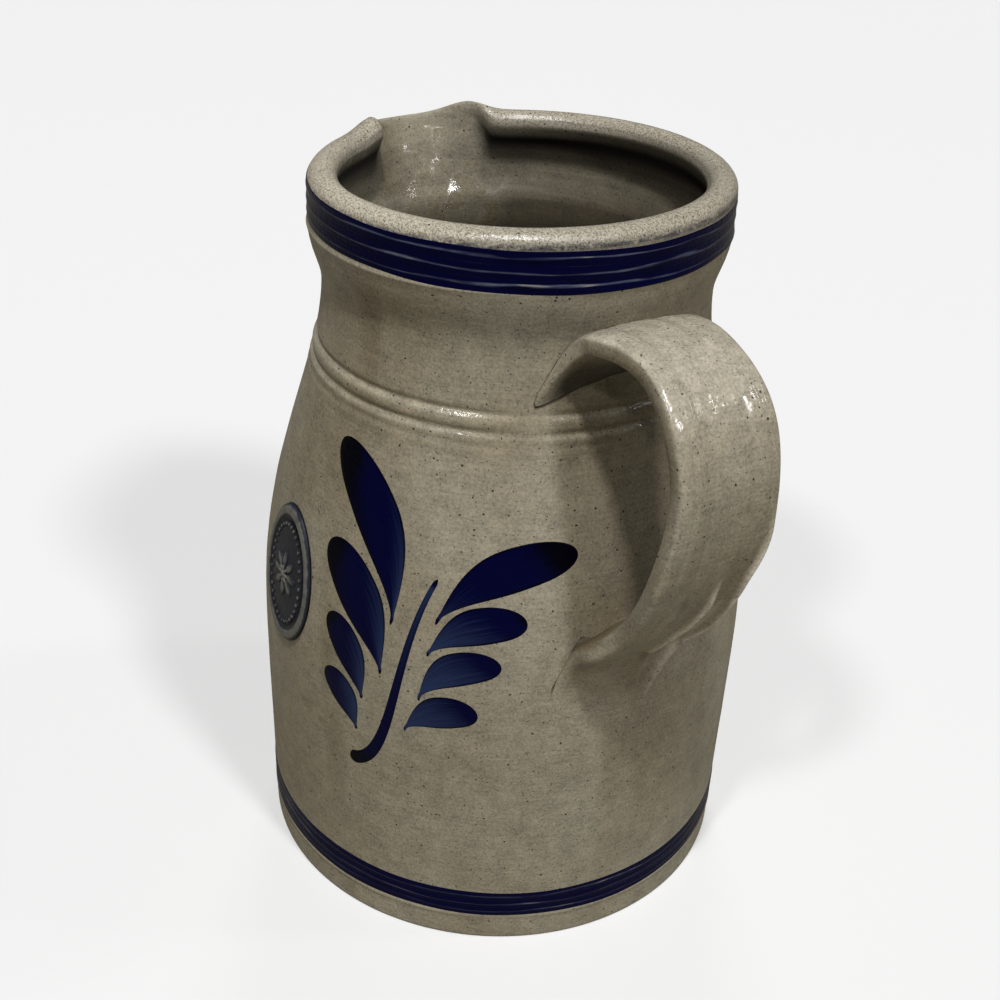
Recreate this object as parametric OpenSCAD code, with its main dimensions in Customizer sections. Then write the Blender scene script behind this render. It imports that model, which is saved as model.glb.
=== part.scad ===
// Salt-glazed stoneware pitcher: a wheel-thrown body with a drawn spout, a pulled strap handle,
// a pressed medallion, and bands and brush strokes of cobalt slip.
// Millimetres, +Z up. The origin is the middle of the foot, on the surface that the pitcher stands on.
// The handle stands along -X and the spout points along +X.

/* [Body] */
// Height from the foot to the top of the rim
body_h = 221.5; // [200:0.5:250]
// Diameter at the fullest part of the belly
belly_d = 152.6; // [140:0.2:170]
// Height of the fullest part of the belly
belly_z = 70; // [55:1:85]
// How far the foot is drawn in from the belly, all round
foot_in = 0.5; // [0:0.5:8]
// Height of the bevel round the foot
foot_bevel = 1.5; // [0.5:0.5:4]
// Diameter of the neck
neck_d = 112.2; // [100:0.2:118]
// Depth of the neck below the top of the rim
neck_drop = 32; // [28:1:40]
// How late the shoulder falls away from the belly
shoulder_power = 1.4; // [1:0.1:1.8]
// Thickness of the wall
wall = 6; // [4:0.5:8]
// Thickness of the floor
floor_t = 8; // [6:0.5:12]
// Radius of the inside corner between floor and wall
floor_fillet = 9; // [4:0.5:15]

/* [Rim] */
// Diameter of the collar under the rim
rim_d = 119; // [112:0.5:130]
// Height of the collar's upright part
collar_h = 16; // [13:0.5:20]
// Width of the rolled rim, from outside to inside
roll_w = 8.5; // [8:0.5:14]
// Height of the rolled rim
roll_h = 7.5; // [5:0.5:10]

/* [Cordon] */
// Depth of the cordon's upper groove below the top of the rim
cordon_drop = 49; // [44:1:56]
// Distance between the cordon's two grooves
cordon_pitch = 5; // [4:0.5:8]
// Depth of the cordon's upper groove
groove_depth = 0.8; // [0.3:0.1:1.5]
// Width of the grooves
groove_w = 0.9; // [0.6:0.1:1.4]
// How far the ridge between the grooves stands proud
ridge_h = 0.4; // [0.2:0.1:1.5]

/* [Spout] */
// Half of the angle that the spout takes up on the rim
spout_half = 20; // [15:1:28]
// Turn of the spout from the line through the handle
spout_turn = 3; // [-5:0.5:5]
// Depth of the spout's root below the top of the rim
spout_drop = 30; // [24:1:36]
// How far the lip is drawn out past the collar
spout_pull = 13; // [6:0.5:20]
// How far the lip dips below the rim
spout_dip = 4; // [0:0.5:8]
// How far the horns beside the lip rise above the rim
horn_h = 2; // [0:0.5:4]
// Thickness of the clay at the lip
lip_t = 4.5; // [3:0.5:6]

/* [Handle] */
// Depth of the upper root below the top of the rim
handle_top_drop = 30; // [26:1:40]
// Height from the lower root to the upper root
handle_h = 81.5; // [70:0.5:95]
// Depth of the strap's outermost point below the upper root
handle_reach_drop = 24.5; // [18:0.5:32]
// How far the middle of the strap stands out from the wall at its outermost point
handle_out = 42; // [36:0.5:55]
// Width of the strap near its upper root
strap_top_w = 26; // [20:1:36]
// Width of the strap near its lower root
strap_low_w = 33; // [22:1:40]
// Thickness of the strap
strap_t = 9.2; // [7:0.2:12]
// Extra width of the strap where its upper root meets the wall
top_flare = 8; // [4:1:20]
// Extra width of the strap where its lower root meets the wall
low_flare = 9; // [4:1:20]
// Extra thickness of the strap at its lower root
low_swell = 2; // [0:0.5:8]
// Depth of the two finger grooves along the strap's outer face
flute_depth = 0.5; // [0:0.1:1]

/* [Medallion] */
// Width of the medallion
medallion_w = 30; // [20:1:36]
// Height of the medallion
medallion_h = 44; // [30:1:50]
// Height of the medallion's middle above the foot
medallion_z = 107; // [90:1:120]
// Turn of the medallion from the spout's direction
medallion_turn = 90; // [80:1:100]
// How far the border and the rosette stand out from the wall
medallion_t = 1.4; // [1:0.1:3]
// Depth of the field inside the border
medallion_sink = 0.6; // [0.3:0.1:0.8]
// Width of the border
medallion_border = 2.4; // [1.5:0.1:4]
// Diameter of the rosette
rosette_d = 18; // [10:0.5:22]
// Number of petals
petals = 8; // [5:1:12]

/* [Slip] */
// Thickness of the cobalt slip
slip = 0.4; // [0.2:0.1:0.8]
// Height of one ring of the rim band
rim_stripe = 3.2; // [2:0.1:3.6]
// Distance of the rim band below the widest line of the rolled rim
rim_band_gap = 0.2; // [0.1:0.1:1.5]
// Height of one ring of the foot band
foot_stripe = 2.7; // [1.5:0.1:4]
// Height of the foot band's lower edge
foot_band_z = 10; // [6:0.5:16]
// Bare gap between two rings of a band
stripe_gap = 0.4; // [0.2:0.1:1]
// Height of the sprig's lower end above the foot
sprig_z = 60; // [50:1:66]
// Turn of the sprig from the spout's direction
sprig_turn = 128; // [120:1:134]
// Width of the stem at its lower end
stem_w = 5; // [3:0.5:7]
// Width of the stem at its tip
stem_tip_w = 1.4; // [1:0.1:2]

/* [Hidden] */
$fn = 96;
// Colours of the clay, of the cobalt slip and of the medallion
clay = [0.46, 0.44, 0.38];
cobalt = [0.04, 0.05, 0.2];
slate = [0.2, 0.2, 0.25];
// Radii and heights that follow from the sizes above
belly_r = belly_d/2;
foot_r = belly_r - foot_in;
neck_r = neck_d/2;
rim_r = rim_d/2;
neck_z = body_h - neck_drop;
collar_z = body_h - collar_h;
cordon_z = body_h - cordon_drop;
spout_z = body_h - spout_drop;
handle_top_z = body_h - handle_top_drop;
handle_low_z = handle_top_z - handle_h;
handle_reach_z = handle_top_z - handle_reach_drop;
handle_reach = smooth_r(handle_reach_z) + handle_out;
roll_z = body_h - roll_h/2;
roll_r = rim_r - roll_w/2;
// Room that a cutting shape has past what it cuts, and room above and below a stroke or the medallion
spare = 20;
margin = 2;
// How strong the cordon's lower groove and ridge are beside the upper ones
lower_share = 0.7;
// Height steps of the turned wall: away from the cordon, in it, and above it
coarse_step = 4;
fine_step = 0.5;
neck_step = 2;
least_step = 1;
cordon_reach = 4;
cordon_low = cordon_z - cordon_pitch - cordon_reach;
cordon_high = cordon_z + cordon_reach;
stations = concat(
    [for (z = [foot_bevel:coarse_step:cordon_low - least_step]) z],
    [for (z = [cordon_low:fine_step:cordon_high]) z],
    [for (z = [cordon_high + neck_step:neck_step:roll_z - least_step]) z],
    [roll_z]
);
// Angle step of round corners, and the angle at which the rolled rim meets the inside of the wall
corner_step = 15;
roll_end = 255;
wall_line = [for (z = stations) [z, smooth_r(z) + cordon(z)]];
// Leaves: base and tip as distances round the wall and up from the sprig's lower end,
// half of the width, and the bow to the left of the line from base to tip
leaves = [
    [-3, 51, -28.2, 96.5, 7.5, -6.3],
    [-6, 34.5, -27, 69, 7.6, -3.5],
    [-12.5, 23.5, -25, 47.5, 5.6, -2],
    [-14.5, 11.5, -25.5, 29, 5, -1.5],
    [8, 54.5, 45.7, 77, 6.2, 5.2],
    [7, 44.5, 34, 58, 5.6, 4],
    [5.5, 29.5, 28, 45, 5.4, 4.5],
    [1.5, 17.8, 22.5, 28.6, 5.5, 3.3]
];
// Corner points of the stem's curve, in the same two distances
stem_path = [[-17, 0.5], [-1, 1], [-2.5, 45], [8, 67.5]];

// Curves and blends
function clamp01(t) = max(0, min(1, t));
function ease(t) = let (c = clamp01(t)) c*c*(3 - 2*c);
function mix(a, b, t) = a + (b - a)*t;
function hump(d, w) = exp(-pow(d/w, 2));
function bezier(p, t) = pow(1 - t, 3)*p[0] + 3*t*pow(1 - t, 2)*p[1] + 3*t*t*(1 - t)*p[2] + pow(t, 3)*p[3];
function unit(v) = v/norm(v);
function flip(list) = [for (i = [len(list) - 1:-1:0]) list[i]];
// Direction of a curve at a place along it, from two places close by
probe = 0.01;
function before(t) = max(t - probe, 0);
function after(t) = min(t + probe, 1);

// Outside of the thrown wall: its smooth radius, the cordon's relief, and the wall as it is turned
function smooth_r(z) =
    z < belly_z ? mix(foot_r, belly_r, ease(z/belly_z)) :
    z < neck_z ? mix(belly_r, neck_r, ease(pow((z - belly_z)/(neck_z - belly_z), shoulder_power))) :
    mix(neck_r, rim_r, ease((z - neck_z)/(collar_z - neck_z)));
function cordon(z) = let (upper = z - cordon_z, lower = upper + cordon_pitch)
    ridge_h*hump(upper + cordon_pitch/2, cordon_pitch/3)
    - groove_depth*hump(upper, groove_w)
    - lower_share*groove_depth*hump(lower, groove_w)
    + lower_share*ridge_h*hump(lower + 2*groove_w, groove_w);
function wall_r(z) = lookup(z, wall_line);
function inner_r(z) = smooth_r(z) - wall;
// The part of the wall's outline from one height to another, moved out by a given distance
function wall_part(low, high, out) = concat(
    [[wall_r(low) + out, low]],
    [for (z = stations) if (z > low + probe && z < high - probe) [wall_r(z) + out, z]],
    [[wall_r(high) + out, high]]
);

// Closed skin over a row of rings that have the same number of points. The row ends in two caps,
// or goes round and meets its own start.
module skin(rings, round = false) {
    n = len(rings[0]);
    count = len(rings);
    points = [for (ring = rings) for (p = ring) p];
    sides = [for (i = [0:round ? count - 1 : count - 2]) for (j = [0:n - 1])
        let (k = (j + 1) % n, this = i*n, next = (i + 1) % count*n)
        for (face = [[this + j, this + k, next + k], [this + j, next + k, next + j]]) face];
    caps = round ? [] : [[for (j = [n - 1:-1:0]) j], [for (j = [0:n - 1]) (count - 1)*n + j]];
    polyhedron(points, concat(sides, caps));
}

// Solid of the wall's outer shape, up to the rim
module wall_solid() {
    rotate_extrude()
        polygon(concat([[0, 0], [foot_r - foot_bevel, 0]], wall_part(foot_bevel, roll_z, 0), [[0, roll_z]]));
}

// Thin shell between two distances outside the wall, over a range of heights
module wall_shell(low, high, from, to) {
    rotate_extrude()
        polygon(concat(wall_part(low, high, to), flip(wall_part(low, high, from))));
}

// Upright sector of the rim that the spout takes up
module spout_sector() {
    far = 2*rim_r;
    rotate([0, 0, spout_turn])
        translate([0, 0, spout_z])
            linear_extrude(height = spout_drop + spare)
                polygon([[0, 0], for (side = [-1, 1]) far*[cos(spout_half), side*sin(spout_half)]]);
}

// Thrown body: foot, wall, collar, rolled rim, and back down the inside
module body() {
    inside_top = roll_z + roll_h/2*sin(roll_end);
    inside_low = floor_t + floor_fillet;
    corner_r = inner_r(inside_low) - floor_fillet;
    outline = concat(
        [[0, 0], [foot_r - foot_bevel, 0]],
        wall_part(foot_bevel, roll_z, 0),
        [for (a = [corner_step:corner_step:roll_end]) [roll_r + roll_w/2*cos(a), roll_z + roll_h/2*sin(a)]],
        [for (z = flip([for (z = [inside_low:coarse_step:inside_top - least_step]) z])) [inner_r(z), z]],
        [for (a = [corner_step:corner_step:90])
            [corner_r + floor_fillet*cos(a), inside_low - floor_fillet*sin(a)]],
        [[0, floor_t]]
    );
    color(clay)
        difference() {
            rotate_extrude() polygon(outline);
            spout_sector();
        }
}

// Spout: how far out and how far down a point of the collar is drawn, by its angle and its height.
// A higher power keeps more of the change near the lip, or near the horns.
pull_power = 1.5;
dip_power = 2;
horn_power = 4;
function draw_share(a) = cos(90*a/spout_half);
function rise(z) = clamp01((z - spout_z)/spout_drop);
function horn_share(a) = pow(abs(a)/spout_half, horn_power);
function spout_r(a, z) = wall_r(z) + spout_pull*draw_share(a)*pow(rise(z), pull_power);
function spout_height(a, z) = z + (horn_h*horn_share(a) - spout_dip*draw_share(a))*pow(rise(z), dip_power);
function spout_point(a, r, z) = [r*cos(a + spout_turn), r*sin(a + spout_turn), z];
function stripe_low(i) = roll_z - rim_band_gap - i*rim_stripe - (i - 1)*stripe_gap;
function stripe_high(i) = stripe_low(i) + rim_stripe;
band_edges = [for (i = [3:-1:1]) for (z = [stripe_low(i), stripe_high(i)]) z];
spout_step = 3;
spout_steps = concat(
    [for (z = [spout_z:spout_step:stripe_low(3) - least_step]) z],
    band_edges,
    [roll_z]
);
spout_turns = 8;
spout_angles = [for (i = [-spout_turns:spout_turns]) i*spout_half/spout_turns];
lip_step = 30;

// One upright section of the spout: up the outside, over the lip and down the inside
function spout_section(a) = let (
    tip_r = spout_r(a, roll_z) - lip_t/2,
    tip_z = spout_height(a, roll_z)
) concat(
    [for (z = spout_steps) spout_point(a, spout_r(a, z), spout_height(a, z))],
    [for (t = [lip_step:lip_step:180 - lip_step])
        spout_point(a, tip_r + lip_t/2*cos(t), tip_z + roll_h/2*sin(t))],
    [for (z = flip(spout_steps))
        spout_point(a, spout_r(a, z) - mix(wall, lip_t, pow(rise(z), dip_power)), spout_height(a, z))]
);

module spout() {
    color(clay) skin([for (a = spout_angles) spout_section(a)]);
}

// Handle: the strap's middle line in the plane of the handle, as distance from the axis and height.
// A lead is how far a curve runs out and up from its root, and a turn how far it runs upright.
upper_lead_out = 26;
upper_lead_up = 12;
lower_lead_out = 13;
lower_lead_up = 8;
upper_turn = 23.5;
lower_turn = 25;
upper_root = [wall_r(handle_top_z), handle_top_z];
lower_root = [wall_r(handle_low_z), handle_low_z];
outermost = [handle_reach, handle_reach_z];
handle_upper = [
    upper_root,
    upper_root + [upper_lead_out, upper_lead_up],
    outermost + [0, upper_turn],
    outermost
];
handle_lower = [
    outermost,
    outermost - [0, lower_turn],
    lower_root + [lower_lead_out, lower_lead_up],
    lower_root
];
function handle_at(t) = t < 0.5 ? bezier(handle_upper, 2*t) : bezier(handle_lower, 2*t - 1);
function handle_way(t) = unit(handle_at(after(t)) - handle_at(before(t)));
// Share of the strap that flares at each root, and how much of the flare a place along the strap has
flare_share = 0.22;
function top_share(t) = pow(clamp01(1 - t/flare_share), 2);
function low_share(t) = pow(clamp01(1 - (1 - t)/flare_share), 2);
// Rounded section of the strap: points across its width and through its thickness
section_points = 28;
section_power = 0.6;
flute_place_share = 0.35;
flute_width_share = 0.12;
function rounded(v) = sign(v)*pow(abs(v), section_power);
function flute(x, y) = y > 0 ? flute_depth*hump(abs(x) - flute_place_share, flute_width_share) : 0;
function strap_ring(t, at, way, deep) = let (
    half_w = (mix(strap_top_w, strap_low_w, t) + top_flare*top_share(t) + low_flare*low_share(t))/2,
    half_t = (strap_t + low_swell*low_share(t))/2
) [for (i = [0:section_points - 1]) let (
    x = rounded(cos(360*i/section_points)),
    y = rounded(sin(360*i/section_points)),
    out = half_t*y - flute(x, y)
) [-(at[0] - way[0]*deep - way[1]*out), half_w*x, at[1] - way[1]*deep + way[0]*out]];
strap_steps = 36;
// The strap runs on into the wall by this much before it is cut to the wall's own surface
root_depth = 4;

module handle() {
    first = strap_ring(0, handle_at(0), handle_way(0), root_depth);
    last = strap_ring(1, handle_at(1), handle_way(1), -root_depth);
    between = [for (i = [0:strap_steps]) let (t = i/strap_steps)
        strap_ring(t, handle_at(t), handle_way(t), 0)];
    color(clay)
        difference() {
            skin(concat([first], between, [last]));
            wall_solid();
        }
}

// An outline on the unrolled wall, raised straight out from it at a given turn. Each point of
// the outline is a distance round the wall from that turn, and a height.
module on_wall(outline, turn) {
    flat = [for (p = outline) let (r = wall_r(p[1])) [r*sin(p[0]/r*180/PI), p[1]]];
    rotate([90, 0, turn + 90])
        linear_extrude(height = belly_r + spare)
            polygon(flat);
}

// Medallion: an oval tablet, with a sunk field between its border and a rosette
oval_points = 36;
rosette_points = 72;
petal_share = 0.38;
function turns(n) = [for (i = [0:n - 1]) 360*i/n];
function oval(w, h) = [for (a = turns(oval_points)) [w/2*cos(a), medallion_z + h/2*sin(a)]];
function rosette_r(a) = rosette_d/2*(1 - petal_share*(1 - abs(cos(petals*a/2))));
function rosette() = [for (a = turns(rosette_points)) rosette_r(a)*[cos(a), sin(a)] + [0, medallion_z]];
module medallion_field() {
    difference() {
        on_wall(oval(medallion_w - 2*medallion_border, medallion_h - 2*medallion_border), medallion_turn);
        on_wall(rosette(), medallion_turn);
    }
}
module medallion() {
    low = medallion_z - medallion_h/2 - margin;
    high = medallion_z + medallion_h/2 + margin;
    color(slate)
        difference() {
            intersection() {
                wall_shell(low, high, 0, medallion_t);
                on_wall(oval(medallion_w, medallion_h), medallion_turn);
            }
            intersection() {
                wall_shell(low, high, medallion_t - medallion_sink, medallion_t + margin);
                medallion_field();
            }
        }
}

// One ring of the rim band: over the drawn spout, and on round the collar
band_step = 4;
band_turns = concat(
    spout_angles,
    [for (a = [spout_half + band_step:band_step:360 - spout_half - band_step/2]) a]
);
function band_point(a, z, out) = a <= spout_half
    ? spout_point(a, spout_r(a, z) + out, spout_height(a, z))
    : spout_point(a, wall_r(z) + out, z);
module rim_band(i) {
    low = stripe_low(i);
    high = stripe_high(i);
    color(cobalt)
        skin([for (a = band_turns) [
            band_point(a, low, 0),
            band_point(a, low, slip),
            band_point(a, high, slip),
            band_point(a, high, 0)
        ]], round = true);
}

// One ring of the foot band
module foot_band(i) {
    low = foot_band_z + (i - 1)*(foot_stripe + stripe_gap);
    color(cobalt) wall_shell(low, low + foot_stripe, 0, slip);
}

// A brush stroke laid on the wall: an outline in distances from the sprig's lower end
module stroke(outline) {
    mid = (min([for (p = outline) p[0]]) + max([for (p = outline) p[0]]))/2;
    low = sprig_z + min([for (p = outline) p[1]]);
    high = sprig_z + max([for (p = outline) p[1]]);
    turn = sprig_turn + mid/wall_r((low + high)/2)*180/PI;
    color(cobalt)
        intersection() {
            wall_shell(low - margin, high + margin, 0, slip);
            on_wall([for (p = outline) [p[0] - mid, sprig_z + p[1]]], turn);
        }
}

// Stem: a curve that is thick and round at its lower end and thin at its tip
stem_steps = 14;
stem_taper = 0.7;
stem_round = 0.05;
stem_least = 0.3;
function stem_end(t) = sqrt(1 - pow(1 - clamp01(t/stem_round), 2));
function stem_half(t) = max(stem_least, stem_end(t)*mix(stem_w, stem_tip_w, pow(t, stem_taper))/2);
function stem_side(t, side) = let (
    way = unit(bezier(stem_path, after(t)) - bezier(stem_path, before(t)))
) bezier(stem_path, t) + side*stem_half(t)*[-way[1], way[0]];
module sprig_stem() {
    steps = concat([0, stem_round/2], [for (i = [1:stem_steps]) i/stem_steps]);
    stroke(concat([for (t = steps) stem_side(t, -1)], [for (t = flip(steps)) stem_side(t, 1)]));
}

// Leaf: pointed at its base, widest past the middle, and round at its tip
widest = 0.62;
point_power = 1.3;
round_power = 2.6;
bow_power = 0.8;
leaf_steps = 12;
function leaf_half(t) = t < widest
    ? pow(sin(90*t/widest), point_power)
    : sqrt(1 - pow((t - widest)/(1 - widest), round_power));
function leaf_bow(t) = sin(180*pow(t, bow_power));
function leaf_side(leaf, t, side) = let (
    base = [leaf[0], leaf[1]],
    along = [leaf[2], leaf[3]] - base,
    left = unit([-along[1], along[0]])
) base + along*t + left*(leaf[5]*leaf_bow(t) + side*leaf[4]*leaf_half(t));
module leaf_stroke(leaf) {
    steps = [for (i = [1:leaf_steps]) 1 - pow(1 - i/(leaf_steps + 1), point_power)];
    stroke(concat(
        [leaf_side(leaf, 0, 0)],
        [for (t = steps) leaf_side(leaf, t, -1)],
        [leaf_side(leaf, 1, 0)],
        [for (t = flip(steps)) leaf_side(leaf, t, 1)]
    ));
}

body();
spout();
handle();
medallion();
for (i = [1:3]) rim_band(i);
for (i = [1:3]) foot_band(i);
sprig_stem();
for (i = [1:8]) leaf_stroke(leaves[i - 1]);
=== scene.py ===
"""Builds the looks of a salt-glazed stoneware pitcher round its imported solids."""
import math
from collections import namedtuple
from functools import partial
from types import SimpleNamespace

import bmesh
import bpy
from bpy.props import FloatProperty, FloatVectorProperty, IntProperty, PointerProperty
from mathutils import Matrix, Vector
from mathutils.bvhtree import BVHTree


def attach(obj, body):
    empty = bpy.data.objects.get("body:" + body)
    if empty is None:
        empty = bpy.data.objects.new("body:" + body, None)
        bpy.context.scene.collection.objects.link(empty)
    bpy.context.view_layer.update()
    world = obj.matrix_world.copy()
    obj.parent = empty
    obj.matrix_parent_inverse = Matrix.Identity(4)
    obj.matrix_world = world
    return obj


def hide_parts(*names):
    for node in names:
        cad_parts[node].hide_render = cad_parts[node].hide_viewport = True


bl_info = {
    "name": "Salt-glazed pitcher",
    "version": (1, 0, 0),
    "blender": (4, 5, 0),
    "location": "3D View > Sidebar > Pitcher",
    "description": "Throws, handles, decorates and lights a stoneware pitcher",
    "category": "Add Mesh",
}

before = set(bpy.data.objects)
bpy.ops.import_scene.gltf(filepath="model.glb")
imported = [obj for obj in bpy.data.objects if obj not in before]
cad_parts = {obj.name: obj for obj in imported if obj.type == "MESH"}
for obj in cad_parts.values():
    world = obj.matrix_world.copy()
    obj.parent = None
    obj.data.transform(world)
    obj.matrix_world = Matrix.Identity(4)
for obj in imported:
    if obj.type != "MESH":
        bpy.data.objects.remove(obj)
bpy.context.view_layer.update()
MM = 0.001
TAU = 2*math.pi

# Weaker lines of the cordon, as shares of its first one
CORDON_LOWER = 0.7
CORDON_LAST = 0.35


# Settings that a user can change

def plain(label, description, value, **more):
    """A plain number."""
    return FloatProperty(name=label, description=description, default=value, **more)


def size(label, description, millimetres):
    """A length, given in millimetres."""
    return plain(label, description, millimetres*MM, unit="LENGTH", precision=5)


def angle(label, description, degrees):
    """An angle, given in degrees."""
    return plain(label, description, math.radians(degrees), subtype="ANGLE")


def count(label, description, value):
    """A whole number."""
    return IntProperty(name=label, description=description, default=value)


def colour(label, description, red, green, blue):
    """A colour, given as a screen shows it, each part from 0 to 255."""
    def linear(value):
        """A part of a colour as an amount of light."""
        value /= 255
        return value/12.92 if value <= 0.04045 else ((value + 0.055)/1.055)**2.4

    default = [linear(value) for value in (red, green, blue)]
    return FloatVectorProperty(
        name=label, description=description, default=default, subtype="COLOR", size=3, min=0, max=1)


class BodySizes(bpy.types.PropertyGroup):
    """Sizes of the thrown body."""
    height: size("Height", "From the foot to the top of the rim", 221.5)
    belly_d: size("Belly diameter", "Across the fullest part", 152.6)
    belly_z: size("Belly height", "Height of the fullest part", 70)
    foot_in: size("Foot inset", "How far the foot is drawn in from the belly", 0.5)
    foot_bevel: size("Foot bevel", "Rounded corner under the foot", 0.8)
    neck_d: size("Neck diameter", "Across the narrowest part", 112.2)
    neck_drop: size("Neck depth", "Depth of the neck below the rim", 32)
    shoulder_power: plain("Shoulder power", "How late the shoulder falls away", 1.4)
    wall: size("Wall", "Thickness of the wall", 6)
    floor_t: size("Floor", "Thickness of the floor", 8)
    floor_fillet: size("Floor corner", "Radius of the corner inside", 9)
    rim_d: size("Collar diameter", "Across the collar under the rim", 119)
    collar_h: size("Collar height", "Height of the collar's upright part", 16)
    roll_w: size("Roll width", "Width of the rolled rim", 8.5)
    roll_h: size("Roll height", "Height of the rolled rim", 7.5)
    cordon_drop: size("Cordon depth", "Depth of the upper groove below the rim", 49)
    cordon_pitch: size("Cordon pitch", "Distance between the two grooves", 5)
    groove_depth: size("Groove depth", "Depth of the upper groove", 0.8)
    groove_w: size("Groove width", "Width of the grooves", 0.9)
    ridge_h: size("Ridge height", "Height of the ridge between the grooves", 0.5)
    hollow: size("Hollow", "How far the wall is thinned under the rolled rim", 2.6)
    slack: size("Slack", "How far the hand-thrown wall stays inside its true size", 0.15)
    wobble: size("Wobble", "How far the wall wanders from a true circle", 0.35)
    outer_rings: size("Outer rings", "Depth of the throwing rings outside", 0.24)
    inner_rings: size("Inner rings", "Depth of the throwing rings inside", 1.3)
    ring_pitch: size("Ring pitch", "Height of one throwing ring", 9)
    rim_tilt: size("Rim tilt", "How far the rim stands out of level", 1.3)
    turns: count("Steps round", "Steps round the axis", 361)

    def smooth_r(self, z):
        """Outer radius of the wall at a height, without the cordon."""
        neck_z = self.height - self.neck_drop
        belly_r, neck_r = self.belly_d/2, self.neck_d/2
        if z < self.belly_z:
            return mix(belly_r - self.foot_in, belly_r, ease(z/self.belly_z))
        if z < neck_z:
            fall = (z - self.belly_z)/(neck_z - self.belly_z)
            return mix(belly_r, neck_r, ease(fall**self.shoulder_power))
        flare = (z - neck_z)/(self.height - self.collar_h - neck_z)
        return mix(neck_r, self.rim_d/2, ease(flare))

    def inner_r(self, z):
        """Inner radius of the wall at a height."""
        return self.smooth_r(z) - self.wall

    def cordon(self, z):
        """Relief of the incised cordon at a height."""
        upper = z - self.height + self.cordon_drop
        lower = upper + self.cordon_pitch
        ridges = hump(upper + self.cordon_pitch/2, self.cordon_pitch/3)
        ridges += CORDON_LOWER*hump(lower + 2*self.groove_w, self.groove_w)
        ridges += CORDON_LAST*hump(lower + self.cordon_pitch, self.groove_w)
        grooves = hump(upper, self.groove_w) + CORDON_LOWER*hump(lower, self.groove_w)
        return self.ridge_h*ridges - self.groove_depth*grooves

    @property
    def roll_z(self):
        """Height of the rolled rim's widest line."""
        return self.height - self.roll_h/2


class SpoutSizes(bpy.types.PropertyGroup):
    """Sizes of the drawn spout."""
    half: angle("Half angle", "Half of the angle that the spout takes up", 20)
    turn: angle("Turn", "Turn from the line through the handle", 3)
    drop: size("Drop", "Depth of the spout's root below the rim", 30)
    pull: size("Pull", "How far the lip is drawn out", 13)
    dip: size("Dip", "How far the lip dips", 4)
    horn: size("Horns", "Height of the horns beside the lip", 2.6)
    horn_w: angle("Horn width", "Half width of a horn", 6.5)
    lip_t: size("Lip", "Thickness of the lip", 4.5)
    edge: angle("Edge", "Half of the angle in which the roll ends", 3.5)


class HandleSizes(bpy.types.PropertyGroup):
    """Sizes of the pulled strap."""
    top_drop: size("Upper root", "Depth of the upper root below the rim", 30)
    rise: size("Rise", "Height from the lower root to the upper root", 81.5)
    reach_drop: size("Reach depth", "Depth of the outermost point below the upper root", 24.5)
    stand_out: size("Reach", "Distance of the strap's middle from the wall", 42)
    top_w: size("Upper width", "Width of the strap near its upper root", 26)
    low_w: size("Lower width", "Width of the strap near its lower root", 33)
    thick: size("Thickness", "Thickness of the strap", 9.2)
    top_flare: size("Upper flare", "Extra width at the upper root", 8)
    low_flare: size("Lower flare", "Extra width at the lower root", 9)
    low_swell: size("Lower swell", "Extra thickness at the lower root", 2)
    flute: size("Flutes", "Depth of the finger grooves", 0.5)
    fold: size("Fold", "Height of the ridges beside the last pull", 1.5)


class MedallionSizes(bpy.types.PropertyGroup):
    """Sizes of the pressed medallion."""
    width: size("Width", "Width of the oval", 30)
    height: size("Height", "Height of the oval", 44)
    z: size("Place", "Height of the middle above the foot", 107)
    turn: angle("Turn", "Turn from the spout's direction", 90)
    thick: size("Thickness", "How far the border stands out", 1.3)
    beads: count("Beads", "Beads inside the border", 34)
    petals: count("Petals", "Petals of the rosette", 8)


class SlipSizes(bpy.types.PropertyGroup):
    """Sizes of the cobalt slip."""
    thick: size("Thickness", "Thickness of the slip", 0.12)
    rim_stripe: size("Rim ring", "Height of one ring of the rim band", 3.2)
    rim_gap: size("Rim gap", "Distance of the band below the roll's widest line", 0.2)
    foot_stripe: size("Foot ring", "Height of one ring of the foot band", 2.7)
    foot_z: size("Foot band", "Height of the foot band's lower edge", 10)
    gap: size("Gap", "Bare gap between two rings", 0.4)
    ridge: size("Ridge", "Height of the line that the brush leaves along a ring", 0.12)
    sprig_z: size("Sprig height", "Height of the sprig's lower end", 60)
    sprig_turn: angle("Sprig turn", "Turn from the spout's direction", 128)
    stem_w: size("Stem", "Width of the stem's lower end", 5)
    stem_tip_w: size("Stem tip", "Width of the stem's tip", 1.4)


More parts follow.
